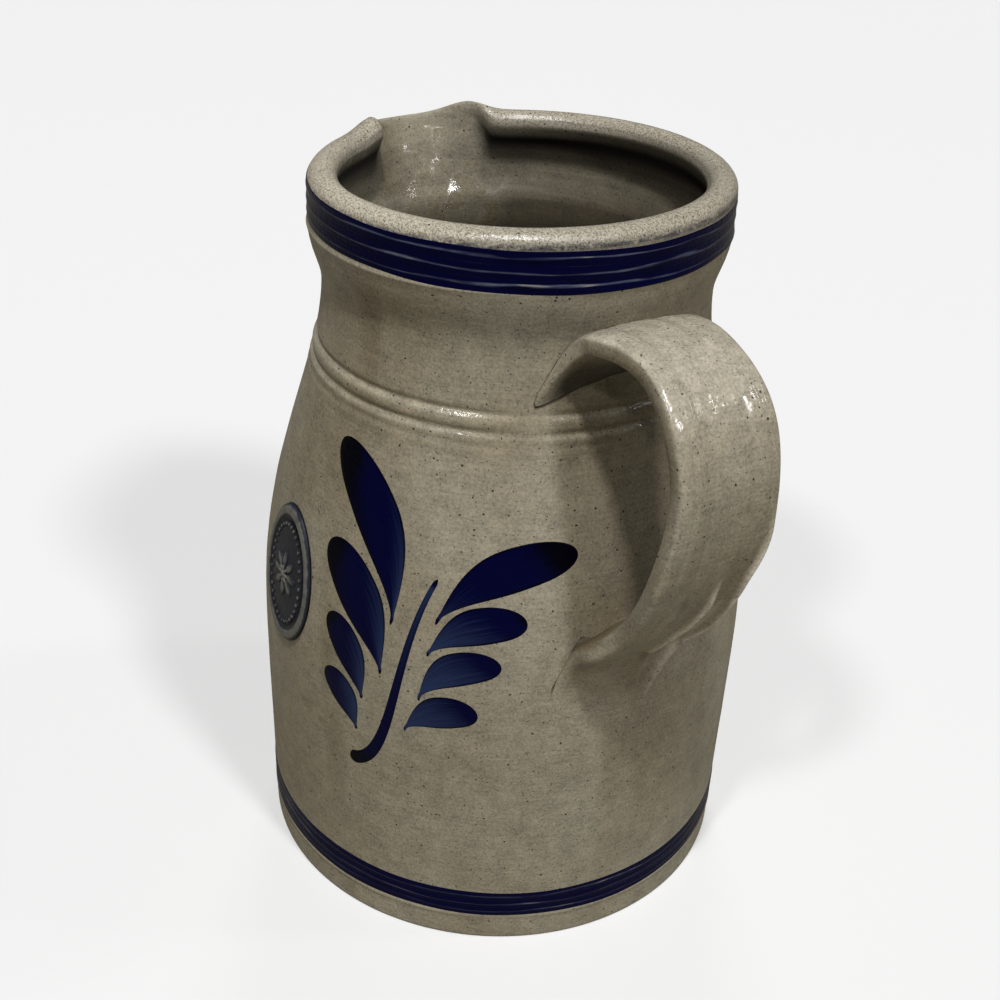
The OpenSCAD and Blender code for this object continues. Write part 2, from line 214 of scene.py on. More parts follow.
class Colours(bpy.types.PropertyGroup):
    """Colours of the clay, the slip and the stage."""
    glaze: colour("Glaze", "Salt glaze over grey clay", 134, 128, 112)
    warm: colour("Warm glaze", "Glaze where the salt took more", 127, 118, 99)
    # Stain, also used as painted shade behind the handle, on the left side and on the lower root's ledge
    stain: colour("Stain", "Brown flash of the kiln", 86, 72, 48)
    # Painted shade that darkens the inside of the pitcher
    deep: colour("Deep glaze", "Glaze down inside", 52, 45, 30)
    # Also painted light on what faces up, and painted glints on the body and the bands
    rim: colour("Rim", "Dry, pale glaze on the rim", 161, 155, 140)
    # Partly thin glaze and partly painted sheen on the strap's ridges and edge
    crest: colour("Crest", "Thin glaze on the strap's folds", 222, 214, 198)
    sand: colour("Sand", "Grains in the dry glaze of the rim", 98, 90, 76)
    # Also painted shade in creases and hollows
    iron: colour("Iron", "Iron specks", 28, 22, 16)
    cobalt: colour("Cobalt", "Slip where it is thick", 2, 3, 38)
    pool: colour("Pooled cobalt", "Slip where it pools", 1, 1, 8)
    wash: colour("Thin cobalt", "Slip where the brush runs dry", 34, 45, 74)
    # Partly painted highlight along the ridge of a ring
    line: colour("Brush line", "Thin line along a turned ring", 74, 80, 100)
    slate: colour("Slate", "Glaze on the medallion", 34, 36, 44)
    worn: colour("Worn slate", "Raised lines of the medallion", 112, 110, 102)
    floor: colour("Floor", "Pale floor", 205, 205, 205)
    bounce: colour("Bounce", "Light that the floor throws back on the object", 130, 126, 112)


class PitcherSettings(bpy.types.PropertyGroup):
    """All settings of the pitcher."""
    body: PointerProperty(type=BodySizes)
    spout: PointerProperty(type=SpoutSizes)
    handle: PointerProperty(type=HandleSizes)
    medallion: PointerProperty(type=MedallionSizes)
    slip: PointerProperty(type=SlipSizes)
    colours: PointerProperty(type=Colours)


# Plain curves and blends, for numbers and for sockets alike

def mix(a, b, t):
    """The value between a and b at share t."""
    return a + (b - a)*t


def ease(t):
    """A share from 0 to 1 that starts and stops softly."""
    t = min(max(t, 0.0), 1.0)
    return t*t*(3 - 2*t)


def hump(distance, width):
    """A round hump of height 1 at no distance."""
    return math.exp(-(distance/width)**2)


def bezier(points, t):
    """Point of a curve with two ends and two handles."""
    s = 1 - t
    return s**3*points[0] + 3*s*s*t*points[1] + 3*s*t*t*points[2] + t**3*points[3]


def either(operation, work_out, value, *others):
    """Works a number out, or leaves it to a node where the value is a socket."""
    return value.math(operation, *others) if isinstance(value, Wire) else work_out(value, *others)


cosine = partial(either, "COSINE", math.cos)
exponent = partial(either, "EXPONENT", math.exp)
least = partial(either, "MINIMUM", min)
most = partial(either, "MAXIMUM", max)


# Node trees written as expressions

class Wire:
    """A socket of a node tree that takes part in Python arithmetic."""

    def __init__(self, graph, socket):
        self.graph = graph
        self.socket = socket

    def out(self, name):
        """Another output of the same node."""
        return Wire(self.graph, find_socket(self.socket.node.outputs, name))

    def math(self, operation, *others):
        """The outcome of a math node that starts with this socket."""
        return self.graph.math(operation, self, *others)

    def __add__(self, other):
        return self.math("ADD", other)

    def __sub__(self, other):
        return self.math("SUBTRACT", other)

    def __rsub__(self, other):
        return self.graph.math("SUBTRACT", other, self)

    def __mul__(self, other):
        return self.math("MULTIPLY", other)

    def __truediv__(self, other):
        return self.math("DIVIDE", other)

    def __rtruediv__(self, other):
        return self.graph.math("DIVIDE", other, self)

    def __pow__(self, other):
        return self.math("POWER", other)

    def __neg__(self):
        return self.math("MULTIPLY", -1.0)

    def __abs__(self):
        return self.math("ABSOLUTE")

    __radd__ = __add__
    __rmul__ = __mul__


def find_socket(sockets, key):
    """A socket by its place, or the first one in use with that name."""
    if isinstance(key, int):
        return sockets[key]
    return next(socket for socket in sockets if socket.name == key and socket.enabled)


class Graph:
    """A node tree that is filled by short calls."""

    def __init__(self, tree):
        self.tree = tree

    def node(self, kind, settings=None, sockets=None, output=0):
        """Adds a node: its settings first, then the values or links of its sockets."""
        node = self.tree.nodes.new(kind)
        for name, value in (settings or {}).items():
            setattr(node, name, value)
        for key, value in (sockets or {}).items():
            socket = find_socket(node.inputs, key)
            if isinstance(value, Wire):
                self.tree.links.new(value.socket, socket)
            else:
                socket.default_value = value
        return Wire(self, find_socket(node.outputs, output))

    def math(self, operation, *values):
        """The outcome of a math node."""
        return self.node("ShaderNodeMath", {"operation": operation}, dict(enumerate(values)))

    def vector_math(self, operation, *values):
        """The outcome of a vector math node."""
        return self.node("ShaderNodeVectorMath", {"operation": operation}, dict(enumerate(values)))

    def split(self, vector):
        """The three parts of a vector."""
        parts = self.node("ShaderNodeSeparateXYZ", {}, {"Vector": vector})
        return parts, parts.out("Y"), parts.out("Z")

    def join(self, x, y, z):
        """A vector from its three parts."""
        return self.node("ShaderNodeCombineXYZ", {}, {"X": x, "Y": y, "Z": z})

    def step(self, low, high, value):
        """A soft step from 0 below low to 1 above high."""
        ends = {"Value": value, "From Min": low, "From Max": high}
        return self.node("ShaderNodeMapRange", {"interpolation_type": "SMOOTHSTEP"}, ends, "Result")

    def noise(self, place, scale, detail=2.0, roughness=0.5):
        """Soft noise, about 0.5 on average."""
        sockets = {"Vector": place, "Scale": scale, "Detail": detail, "Roughness": roughness}
        return self.node("ShaderNodeTexNoise", {"noise_dimensions": "3D"}, sockets)

    def scaled(self, vector, factor):
        """A vector made longer or shorter."""
        sockets = {"Vector": vector, "Scale": factor}
        return self.node("ShaderNodeVectorMath", {"operation": "SCALE"}, sockets)


def socket_kind(value):
    """The kind of socket that takes a value."""
    kinds = ((int, "Int"), (float, "Float"), (bpy.types.Object, "Object"), (bpy.types.Material, "Material"))
    return "NodeSocket" + next(name for kind, name in kinds if isinstance(value, kind))


class Recipe(Graph):
    """A geometry tree with named inputs and their values, which turns a mesh into a finished one."""

    def __init__(self, name, values):
        super().__init__(bpy.data.node_groups.new(name, "GeometryNodeTree"))
        face = self.tree.interface
        for way in ("INPUT", "OUTPUT"):
            face.new_socket("Geometry", in_out=way, socket_type="NodeSocketGeometry")
        self.values = {}
        for key, value in values.items():
            socket = face.new_socket(key, in_out="INPUT", socket_type=socket_kind(value))
            self.values[socket.identifier] = value
        self.entry = self.tree.nodes.new("NodeGroupInput")

    def __getitem__(self, name):
        return Wire(self, self.entry.outputs[name])

    def attribute(self, kind, name):
        """An attribute of the mesh at hand."""
        settings = {"data_type": kind}
        return self.node("GeometryNodeInputNamedAttribute", settings, {"Name": name}, "Attribute")

    def store(self, mesh, name, value):
        """Keeps a number with every point of a mesh."""
        sockets = {"Geometry": mesh, "Name": name, "Value": value}
        return self.node("GeometryNodeStoreNamedAttribute", {"data_type": "FLOAT"}, sockets)

    def move(self, mesh, place):
        """Puts every point of a mesh in a new place."""
        return self.node("GeometryNodeSetPosition", {}, {"Geometry": mesh, "Position": place})

    def finish(self, mesh):
        """Closes seams and poles, smooths the faces and sets the material."""
        mesh = self.node("GeometryNodeRealizeInstances", {}, {"Geometry": mesh})
        mesh = self.node("GeometryNodeMergeByDistance", {}, {"Geometry": mesh, "Distance": MERGE})
        mesh = self.node("GeometryNodeSetShadeSmooth", {}, {"Geometry": mesh, "Shade Smooth": True})
        mesh = self.node("GeometryNodeSetMaterial", {}, {"Geometry": mesh, "Material": self["Material"]})
        last = self.tree.nodes.new("NodeGroupOutput")
        self.tree.links.new(mesh.socket, last.inputs["Geometry"])

    def make(self, name, mesh):
        """Runs the tree on a mesh and keeps the result as a plain mesh."""
        piece = add_object(name, mesh)
        modifier = piece.modifiers.new("Recipe", "NODES")
        modifier.node_group = self.tree
        for identifier, value in self.values.items():
            modifier[identifier] = value
        depsgraph = bpy.context.evaluated_depsgraph_get()
        made = bpy.data.meshes.new_from_object(
            piece.evaluated_get(depsgraph), preserve_all_data_layers=True, depsgraph=depsgraph)
        piece.modifiers.clear()
        piece.data = made
        if not made.polygons:
            raise RuntimeError(name + " came out empty")
        return piece


# Small helpers for meshes and pieces

MERGE = 0.004*MM


def add_object(name, data):
    """Puts data in the scene as an object."""
    item = bpy.data.objects.new(name, data)
    bpy.context.scene.collection.objects.link(item)
    return item


def mesh_from(name, points, faces=(), edges=(), numbers=None, vectors=None):
    """A mesh with attributes on its points."""
    mesh = bpy.data.meshes.new(name)
    mesh.from_pydata(points, edges, faces)
    for key, values in (numbers or {}).items():
        mesh.attributes.new(key, "FLOAT", "POINT").data.foreach_set("value", values)
    for key, values in (vectors or {}).items():
        flat = [part for value in values for part in value]
        mesh.attributes.new(key, "FLOAT_VECTOR", "POINT").data.foreach_set("vector", flat)
    return mesh


def tube_faces(rings, around, closed=False):
    """Faces of a tube of rings with as many points each, open at its ends or closed to a hoop."""
    faces = []
    for i in range(rings if closed else rings - 1):
        here, after = i*around, (i + 1) % rings*around
        for j in range(around):
            aside = (j + 1) % around
            faces.append((here + j, here + aside, after + aside, after + j))
    return faces


def turn_outwards(mesh):
    """Merges doubled points and turns all faces of a closed mesh outwards."""
    work = bmesh.new()
    work.from_mesh(mesh)
    bmesh.ops.remove_doubles(work, verts=work.verts, dist=MERGE)
    bmesh.ops.recalc_face_normals(work, faces=work.faces)
    work.to_mesh(mesh)
    work.free()


def settle(piece, slot, *nodes):
    """Closes a finished piece, gives it its body and hides the solids that it stands for. Its slot is not
    used.
    """
    turn_outwards(piece.data)
    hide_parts(*nodes)
    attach(piece, "root")


# Spout: how a place on the collar is drawn, by its angle from the middle and its height

def spout_rise(spout, z):
    """How far up the drawn part a height is."""
    return least(most((z - spout.root)/spout.drop, 0.0), 1.0)


def spout_draw(spout, off):
    """How much of the draw an angle has."""
    return cosine(least(abs(off)/spout.half, 1.0)*(math.pi/2))


def spout_pull(spout, off, z):
    """How far out a place is drawn."""
    return spout_draw(spout, off)*spout_rise(spout, z)**1.5*spout.pull


def spout_lift(spout, off, z):
    """How far up or down a place is drawn."""
    side = (abs(off - HORN_LEAN) + HORN_LEAN - spout.half)/spout.horn_w
    rise = spout_rise(spout, z)
    return (exponent(-(side*side))*spout.horn - spout_draw(spout, off)*spout.dip)*rise*rise


def spout_values(body, spout):
    """The spout's sizes as plain numbers."""
    return SimpleNamespace(
        half=spout.half, drop=spout.drop, pull=spout.pull, dip=spout.dip, horn=spout.horn,
        horn_w=spout.horn_w, root=body.height - spout.drop)


# Thrown body

Station = namedtuple("Station", "r z lip_r lip_z relief rim haze inside crack")
FOOT_STEPS = 8
BEVEL_STEPS = 4
ROLL_STEPS = 24
INNER_STEPS = 90
CORNER_STEPS = 8
FLOOR_STEPS = 12
CORDON_ABOVE = 4*MM
CORDON_BELOW = 11*MM
CORDON_APPROACH = 14*MM
SWEEP = 3*MM
ROLL_END = math.radians(236)
ROLL_HANG = 0.6
ROLL_LEAN = math.radians(1)
HORN_LEAN = math.radians(1.75)
PALE_END = 2.6
ROLL_SHADE_FROM, ROLL_SHADE_OVER = 3.5, 0.5
HAZE_UP, HAZE_W = 0.2*MM, 1*MM
CREASE_DROP, CREASE_TALL = 0.7*MM, 5.2*MM
HOLLOW_TALL = 14*MM
LIP_UNDER = 1*MM
INNER_CROWDING = 1.4

# Ridges and pale lines that the tool leaves under the two bands
UNDER_RIM, RIM_RIDGE, RIM_PALE = 0.9*MM, 0.45*MM, 0.55
UNDER_FOOT, FOOT_RIDGE, FOOT_PALE = 1*MM, 0.35*MM, 0.2
RIDGE_W, PALE_W = 0.8*MM, 0.6*MM


def wall_heights(body, slip):
    """Heights of the stations up the outside: closer together at the foot, cordon and collar."""
    cordon_z = body.height - body.cordon_drop
    collar_z = body.height - body.collar_h
    low, heights = body.foot_bevel, []
    for high, step in (
            (slip.foot_z + 1*MM, 0.5*MM),
            (cordon_z - CORDON_APPROACH, 3.2*MM), (cordon_z - CORDON_BELOW, 1*MM),
            (cordon_z + CORDON_ABOVE, 0.55*MM), (collar_z, 2.6*MM), (collar_z + SWEEP, 0.4*MM),
            (body.roll_z, 1.3*MM)):
        steps = max(1, round((high - low)/step))
        heights += [mix(low, high, i/steps) for i in range(steps)]
        low = high
    return heights


def clay_section(body, spout, slip):
    """Stations from the middle of the foot, up the outside, over the rim and down to the floor."""
    foot_r = body.belly_d/2 - body.foot_in
    rim_r = body.rim_d/2
    root = body.height - spout.drop
    roll_r = rim_r - body.roll_w/2
    band_low = body.roll_z - slip.rim_gap - 3*slip.rim_stripe - 2*slip.gap
    section = []

    def add(r, z, lip=(0, 0), relief=0, rim=0, haze=0, inside=0, crack=0):
        """Puts one more station at the end."""
        section.append(Station(r, z, lip[0], lip[1], relief, rim, haze, inside, crack))

    for i in range(FOOT_STEPS):
        add((foot_r - body.foot_bevel)*i/FOOT_STEPS, 0)
    for i in range(BEVEL_STEPS):
        corner = math.pi/2*i/BEVEL_STEPS
        add(foot_r - body.foot_bevel*(1 - math.sin(corner)), body.foot_bevel*(1 - math.cos(corner)))
    for z in wall_heights(body, slip):
        under_rim, under_foot = z - band_low + UNDER_RIM, z - slip.foot_z + UNDER_FOOT
        ridge = RIM_RIDGE*hump(under_rim, RIDGE_W) + FOOT_RIDGE*hump(under_foot, RIDGE_W)
        pale = RIM_PALE*hump(under_rim, PALE_W) + FOOT_PALE*hump(under_foot, PALE_W)
        add(body.smooth_r(z), z, relief=body.cordon(z) + ridge, rim=pale)
    for i in range(ROLL_STEPS + 1):
        corner = ROLL_END*i/ROLL_STEPS
        r = roll_r + body.roll_w/2*math.cos(corner)
        hang = 1 + ROLL_HANG*ease((corner - math.pi)/(ROLL_END - math.pi))
        z = body.roll_z + body.roll_h/2*math.sin(corner)*hang
        lip_turn = math.pi*i/ROLL_STEPS
        lip_r = rim_r - spout.lip_t/2*(1 - math.cos(lip_turn))
        lip_z = body.roll_z + body.roll_h/2*math.sin(lip_turn)
        inside = ease((corner - math.pi/2)/(math.pi/2))
        haze = hump(z - body.roll_z - HAZE_UP, HAZE_W) if corner < math.pi/2 else 0
        rim = 1 - ease(corner - PALE_END)
        # Painted shade under the end of the roll
        crack = ease((corner - ROLL_SHADE_FROM)/ROLL_SHADE_OVER)
        add(r, z, (lip_r - r, lip_z - z), rim=rim, haze=haze, inside=inside, crack=crack)
    roll_foot = section[-1]
    top = roll_foot.z - CREASE_DROP
    bottom = body.floor_t + body.floor_fillet
    for i in range(INNER_STEPS):
        z = mix(top, bottom, (i/INNER_STEPS)**INNER_CROWDING)
        thin = body.hollow*ease((z - root)/HOLLOW_TALL)
        below = (roll_foot.z - z)/CREASE_TALL
        r = mix(roll_foot.r, body.inner_r(z) + thin, 1 - math.exp(-below))
        lip = (0, 0)
        if z > root:
            lip_z = root + (z - root)*(body.roll_z - LIP_UNDER - root)/(top - root)
            rise = (lip_z - root)/spout.drop
            lip = (body.smooth_r(lip_z) - mix(body.wall, spout.lip_t, rise*rise) - r, lip_z - z)
        # Painted shade in the crease under the rolled rim
        add(r, z, lip, inside=1, crack=min(1, 1.1*math.exp(-below*below)))
    corner_r = body.inner_r(bottom) - body.floor_fillet
    for i in range(CORNER_STEPS):
        corner = math.pi/2*i/CORNER_STEPS
        r = corner_r + body.floor_fillet*math.cos(corner)
        add(r, bottom - body.floor_fillet*math.sin(corner), inside=1)
    for i in range(FLOOR_STEPS + 1):
        add(corner_r*(1 - i/FLOOR_STEPS), body.floor_t, inside=1)
    return section


def turned_clay(values):
    """Tree that turns a section round the axis, draws the spout and leaves the potter's rings."""
    g = Recipe("turned_clay", values)
    section = g["Geometry"]
    turns = g["Turns"]
    whole = {"component": "MESH"}
    stations = g.node("GeometryNodeAttributeDomainSize", whole, {"Geometry": section}, "Point Count")
    grid = g.node("GeometryNodeMeshGrid", {}, {"Vertices X": stations, "Vertices Y": turns}, "Mesh")
    index = g.node("GeometryNodeInputIndex")
    station = ((index + 0.5)/turns).math("FLOOR")

    def at_station(kind, value):
        """What a point of the section has, for each point of its turn."""
        sockets = {"Geometry": section, "Value": value, "Index": station}
        return g.node("GeometryNodeSampleIndex", {"data_type": kind, "domain": "POINT"}, sockets, "Value")

    def number(name):
        """A number kept with the section."""
        return at_station("FLOAT", g.attribute("FLOAT", name))

    # Angle from the middle of the spout, with the steps closer together there
    way = ((index - station*turns)/(turns - 1) - 0.5)*TAU
    off = way - g["Crowding"]*way.math("SINE")
    turn = off + g["Spout turn"]
    cos_turn, sin_turn = turn.math("COSINE"), turn.math("SINE")

    radius, _, height = g.split(at_station("FLOAT_VECTOR", g.node("GeometryNodeInputPosition")))
    lip_r, _, lip_z = g.split(at_station("FLOAT_VECTOR", g.attribute("FLOAT_VECTOR", "lip_shift")))
    inside = number("inside")
    spout = SimpleNamespace(
        half=g["Spout half"], root=g["Spout root"], drop=g["Spout drop"], pull=g["Spout pull"],
        dip=g["Spout dip"], horn=g["Horn height"], horn_w=g["Horn width"])
    roll_off = abs(off + ROLL_LEAN) + ROLL_LEAN
    drawn = 1 - g.step(spout.half - g["Roll end"], spout.half + g["Roll end"], roll_off)

    # Throwing rings wander on their way round, and fade out at the middle of the foot and floor
    away = g.step(10*MM, 40*MM, radius)
    climb = height/g["Ring pitch"]*(1 + 0.5*inside) + g["Seed"] + inside*7.3
    rings = g.noise(g.join(cos_turn*0.5, sin_turn*0.5, climb), 1.0, 1.0) - 0.5
    depth = mix(g["Outer rings"], g["Inner rings"], inside)
    drift = g.noise(g.join(cos_turn*1.2, sin_turn*1.2, height*9 + g["Seed"]), 1.0) - 0.5
    wander = drift*g["Wobble"] - g["Slack"]*(1 - inside)
    smear = (abs(off) - g["Cordon smear"])/g["Smear width"]
    cordon = number("relief")*(1 - 0.8*exponent(-(smear*smear)))*(0.85 + 0.6*drift)
    level = g.step(g["Tilt root"], g["Roll line"], height)
    tilt = g["Rim tilt"]*((turn - g["Tilt turn"]).math("COSINE") - 0.08)*level

    lip_height = height + drawn*lip_z
    new_r = radius + drawn*lip_r + spout_pull(spout, off, lip_height) + cordon + (rings*depth + wander)*away
    new_z = lip_height + spout_lift(spout, off, lip_height) + tilt
    clay = g.move(grid, g.join(new_r*cos_turn, new_r*sin_turn, new_z))
    for key, value in (("rim", number("rim")*(1 - 0.75*drawn)), ("haze", number("haze")),
                       ("inside", inside), ("crack", number("crack")*(1 - drawn))):
        clay = g.store(clay, key, value)
    g.finish(clay)
    return g


REACH = 0.2


def wall_finder(piece):
    """A function that gives the outer wall's place and direction at a turn and a height."""
    depsgraph = bpy.context.evaluated_depsgraph_get()
    tree = BVHTree.FromObject(piece, depsgraph)

    def find(turn, z):
        """Casts a ray at the axis from outside."""
        ray = Vector((math.cos(turn), math.sin(turn), 0))
        place, normal, _, _ = tree.ray_cast(ray*REACH + Vector((0, 0, z)), -ray)
        if place is None:
            raise RuntimeError("no wall at that height")
        return place, normal

    return find, tree


class PITCHER_OT_body(bpy.types.Operator):
    """Throw the body and draw its spout"""
    bl_idname = "pitcher.body"
    bl_label = "Body"

    def execute(self, context):
        pitcher = context.scene.pitcher
        body, spout = pitcher.body, pitcher.spout
        section = clay_section(body, spout, pitcher.slip)
        kept = ("relief", "rim", "haze", "inside", "crack")
        line = mesh_from(
            "section", [(s.r, 0, s.z) for s in section],
            edges=[(i, i + 1) for i in range(len(section) - 1)],
            numbers={key: [getattr(s, key) for s in section] for key in kept},
            vectors={"lip_shift": [(s.lip_r, 0, s.lip_z) for s in section]})
        clay = turned_clay({
            "Turns": body.turns, "Crowding": 0.4, "Spout turn": spout.turn, "Spout half": spout.half,
            "Spout root": body.height - spout.drop, "Spout drop": spout.drop, "Spout pull": spout.pull,
            "Spout dip": spout.dip, "Horn height": spout.horn, "Horn width": spout.horn_w,
            "Roll end": spout.edge, "Roll line": body.roll_z, "Slack": body.slack, "Wobble": body.wobble,
            "Outer rings": body.outer_rings, "Inner rings": body.inner_rings,
            "Ring pitch": body.ring_pitch, "Rim tilt": body.rim_tilt, "Tilt turn": math.radians(210),
            "Tilt root": 150*MM, "Cordon smear": math.radians(151), "Smear width": math.radians(9),
            "Seed": 3.0, "Material": fired_glaze(pitcher.colours)})
        settle(clay.make("thrown_body", line), "salt_glaze", "body", "spout")
        return {"FINISHED"}


# Handle

OUTER_POINTS = 76
INNER_POINTS = 24
SECTION = OUTER_POINTS + INNER_POINTS
SQUARENESS = 5.5
STRAP_STEPS = 96
STRAP_START, STRAP_END = 0.055, 0.935
ROOT_STEPS = 12
FLARE_SHARE = 0.22
GROOVES = (-0.38, 0.02, 0.36)
GROOVE_W = 0.13
Root = namedtuple("Root", "place spread hug crack web")
HUG = 0.43
ROOT_LIP = 0.4*MM
ROOT_SINK = 0.35*MM
WEB = 1.0*MM
CAP = Vector((2*MM, 0, 0))
UPPER_PULLS = Vector((26, 12))*MM, Vector((0, 23.5))*MM
LOWER_PULLS = Vector((0, 25))*MM, Vector((13, 8))*MM

# Middles and reaches of the two roots on the wall, in millimetres
UPPER_Z, UPPER_SIDE = 184.5, 21
LOWER_Z, LOWER_TALL = 102, 17
LOWER_LEFT, LOWER_SMEAR, LOWER_RIGHT = 23.5, 10, 5


def section_shares():
    """Places round the strap's section, from -1 to 1 both ways: its outer face, then its inner one."""
    def face(points, sign):
        """Places along one face."""
        across = [math.cos(math.pi*(i + 0.5)/points) for i in range(points)]
        return [(x, sign*(1 - abs(x)**SQUARENESS)**(1/SQUARENESS)) for x in across]
    return face(OUTER_POINTS, 1) + face(INNER_POINTS, -1)[::-1]


def strap_curves(body, handle):
    """The strap's middle line as two curves in its own plane: distance from the axis, and height."""
    top_z = body.height - handle.top_drop
    low_z = top_z - handle.rise
    reach_z = top_z - handle.reach_drop
    top = Vector((body.smooth_r(top_z), top_z))
    low = Vector((body.smooth_r(low_z), low_z))
    far = Vector((body.smooth_r(reach_z) + handle.stand_out, reach_z))
    upper = [top, top + UPPER_PULLS[0], far + UPPER_PULLS[1], far]
    lower = [far, far - LOWER_PULLS[0], low + LOWER_PULLS[1], low]
    return upper, lower


def strap_at(curves, t):
    """Point of the strap's middle line at a share of its length."""
    return bezier(curves[0], 2*t) if t < 0.5 else bezier(curves[1], 2*t - 1)


def strap_way(curves, t):
    """Direction of the strap's middle line."""
    return (strap_at(curves, min(t + 0.01, 1)) - strap_at(curves, max(t - 0.01, 0))).normalized()


def strap_folds(x, t):
    """The two ridges that the last pull left along the outer face, and the hollow between them."""
    edge = hump(x + 0.9, 0.07)*ease((t - 0.5)/0.15)
    inner = hump(x - mix(-0.21, 0.05, ease((t - 0.71)/0.16)), 0.06)*ease((t - 0.64)/0.08)
    hollow = hump(x + 0.55, 0.2)*ease((t - 0.58)/0.15)
    return edge + inner, hollow


def strap_taper(t):
    """How far one edge of the strap is drawn in towards its lower end."""
    return (3.2*ease((t - 0.56)/0.12) + 1.1*ease((t - 0.7)/0.16) + 5*ease((t - 0.84)/0.12))*MM


def strap_relief(handle, x, t):
    """Finger grooves along the outer face, fine streaks in them, and the folds."""
    grooves = sum(hump(x - place, GROOVE_W) for place in GROOVES)
    streaks = math.sin(21*x + 3*t) + 0.7*math.sin(34*x - 4*t + 1) + 0.5*math.sin(55*x + 5*t)
    ridges, hollow = strap_folds(x, t)
    flat = 1 - ease((abs(x) - 0.75)/0.2)
    return handle.flute*(0.13*streaks*flat - 0.8*grooves) + handle.fold*(ridges - 0.9*hollow)


def strap_crest(x, y, t):
    """How pale the ridges and the edge of the outer face are painted: partly glaze drawn thin over them,
    partly painted sheen.
    """
    if y < 0:
        return 0.0
    edge = 0.12*hump(y - 0.75, 0.12)
    ridges, hollow = strap_folds(x, t)
    return min(1, 0.9*ridges + 0.4*hollow*ease((t - 0.7)/0.1) + edge)


def strap_ring(handle, curves, t):
    """Points round the strap at a share of its length."""
    at, way = strap_at(curves, t), strap_way(curves, t)
    top = max(0, 1 - t/FLARE_SHARE)**2
    low = max(0, 1 - (1 - t)/FLARE_SHARE)**2
    uneven = 0.35*MM*math.sin(9*t + 1) + 0.25*MM*math.sin(23*t)
    half_w = (mix(handle.top_w, handle.low_w, t) + handle.top_flare*top + handle.low_flare*low)/2 + uneven
    half_t = (handle.thick + handle.low_swell*low)/2
    thinned = ease((t + 0.04)/0.1)
    ring = []
    for x, y in section_shares():
        if y > 0:
            out = half_t*y + (strap_relief(handle, x, t) - 0.15*MM)*ease(y/0.6)
        else:
            out = half_t*y*(1 - 0.7*thinned*ease((x - 0.1)/0.9))
        wider = 1.3*MM*thinned + 1.5*MM*ease((t - 0.82)/0.1) if x > 0 else 1.2*MM - strap_taper(t)
        side = (half_w + wider)*x
        ring.append(Vector((-(at.x - way.y*out), side, at.y + way.x*out)))
    return ring


def upper_place(x, y):
    """Place of the upper root's edge on the wall: distance to the side, and height."""
    if y > 0:
        return UPPER_SIDE*MM*x*(1 - 0.29*y), (UPPER_Z + y*(12 - 3*x*x))*MM
    return UPPER_SIDE*MM*x*(1 - 0.33*y), (UPPER_Z + y*(2.5 + 10.4*x*x))*MM


def lower_place(x, y):
    """Place of the lower root's edge on the wall, smeared down and to one side."""
    aside = (LOWER_LEFT + LOWER_SMEAR*min(max(y, -0.5), 0.35) if x > 0 else LOWER_RIGHT)*MM*x
    if y > 0:
        return aside*(1 - 0.1*y), (LOWER_Z - LOWER_TALL*y)*MM
    return aside, (LOWER_Z - y*(LOWER_TALL - 5*x*x))*MM


def lower_spread(x, y):
    """How far the lower root is spread on the wall: its outer face and one corner, not its inner face."""
    return max(ease((y + 0.5)/0.9), 0.9*ease((x - 0.6)/0.38))


def lower_hug(x, y):
    """How closely the lower root lies to the wall: closest at the corner that is smeared to one side."""
    return HUG + 0.37*ease((x - 0.4)/0.5)


def lower_crack(x, y):
    """How far the lower root has come away, at one corner, and how much painted shade darkens the crease
    above it.
    """
    crack = ease((x - 0.93)/0.05)*ease((0.5 - y)/0.3)
    return crack, 0.6*ease((-y - 0.3)/0.3)*ease((x - 0.3)/0.4)


def upper_crack(x, y):
    """How far the upper root has come away, at one side and on top, and how much painted shade darkens the
    hollow under it.
    """
    crack = max(ease((x - 0.2)/0.3), 0.5*ease(y/0.4)*ease(math.sin(23*x)))
    return crack, 0.75*ease((-y - 0.4)/0.3)*ease((0.95 - x)/0.2)


def lower_web(x, y, along):
    """The ridge of clay that runs down the lower root from the strap's drawn-in edge."""
    return hump(x + 0.75, 0.22)*ease(y/0.5)*math.sin(math.pi*along**0.7)


UPPER_ROOT = Root(upper_place, lambda x, y: 1.0, lambda x, y: HUG, upper_crack, lambda x, y, along: 0.0)
LOWER_ROOT = Root(lower_place, lower_spread, lower_hug, lower_crack, lower_web)


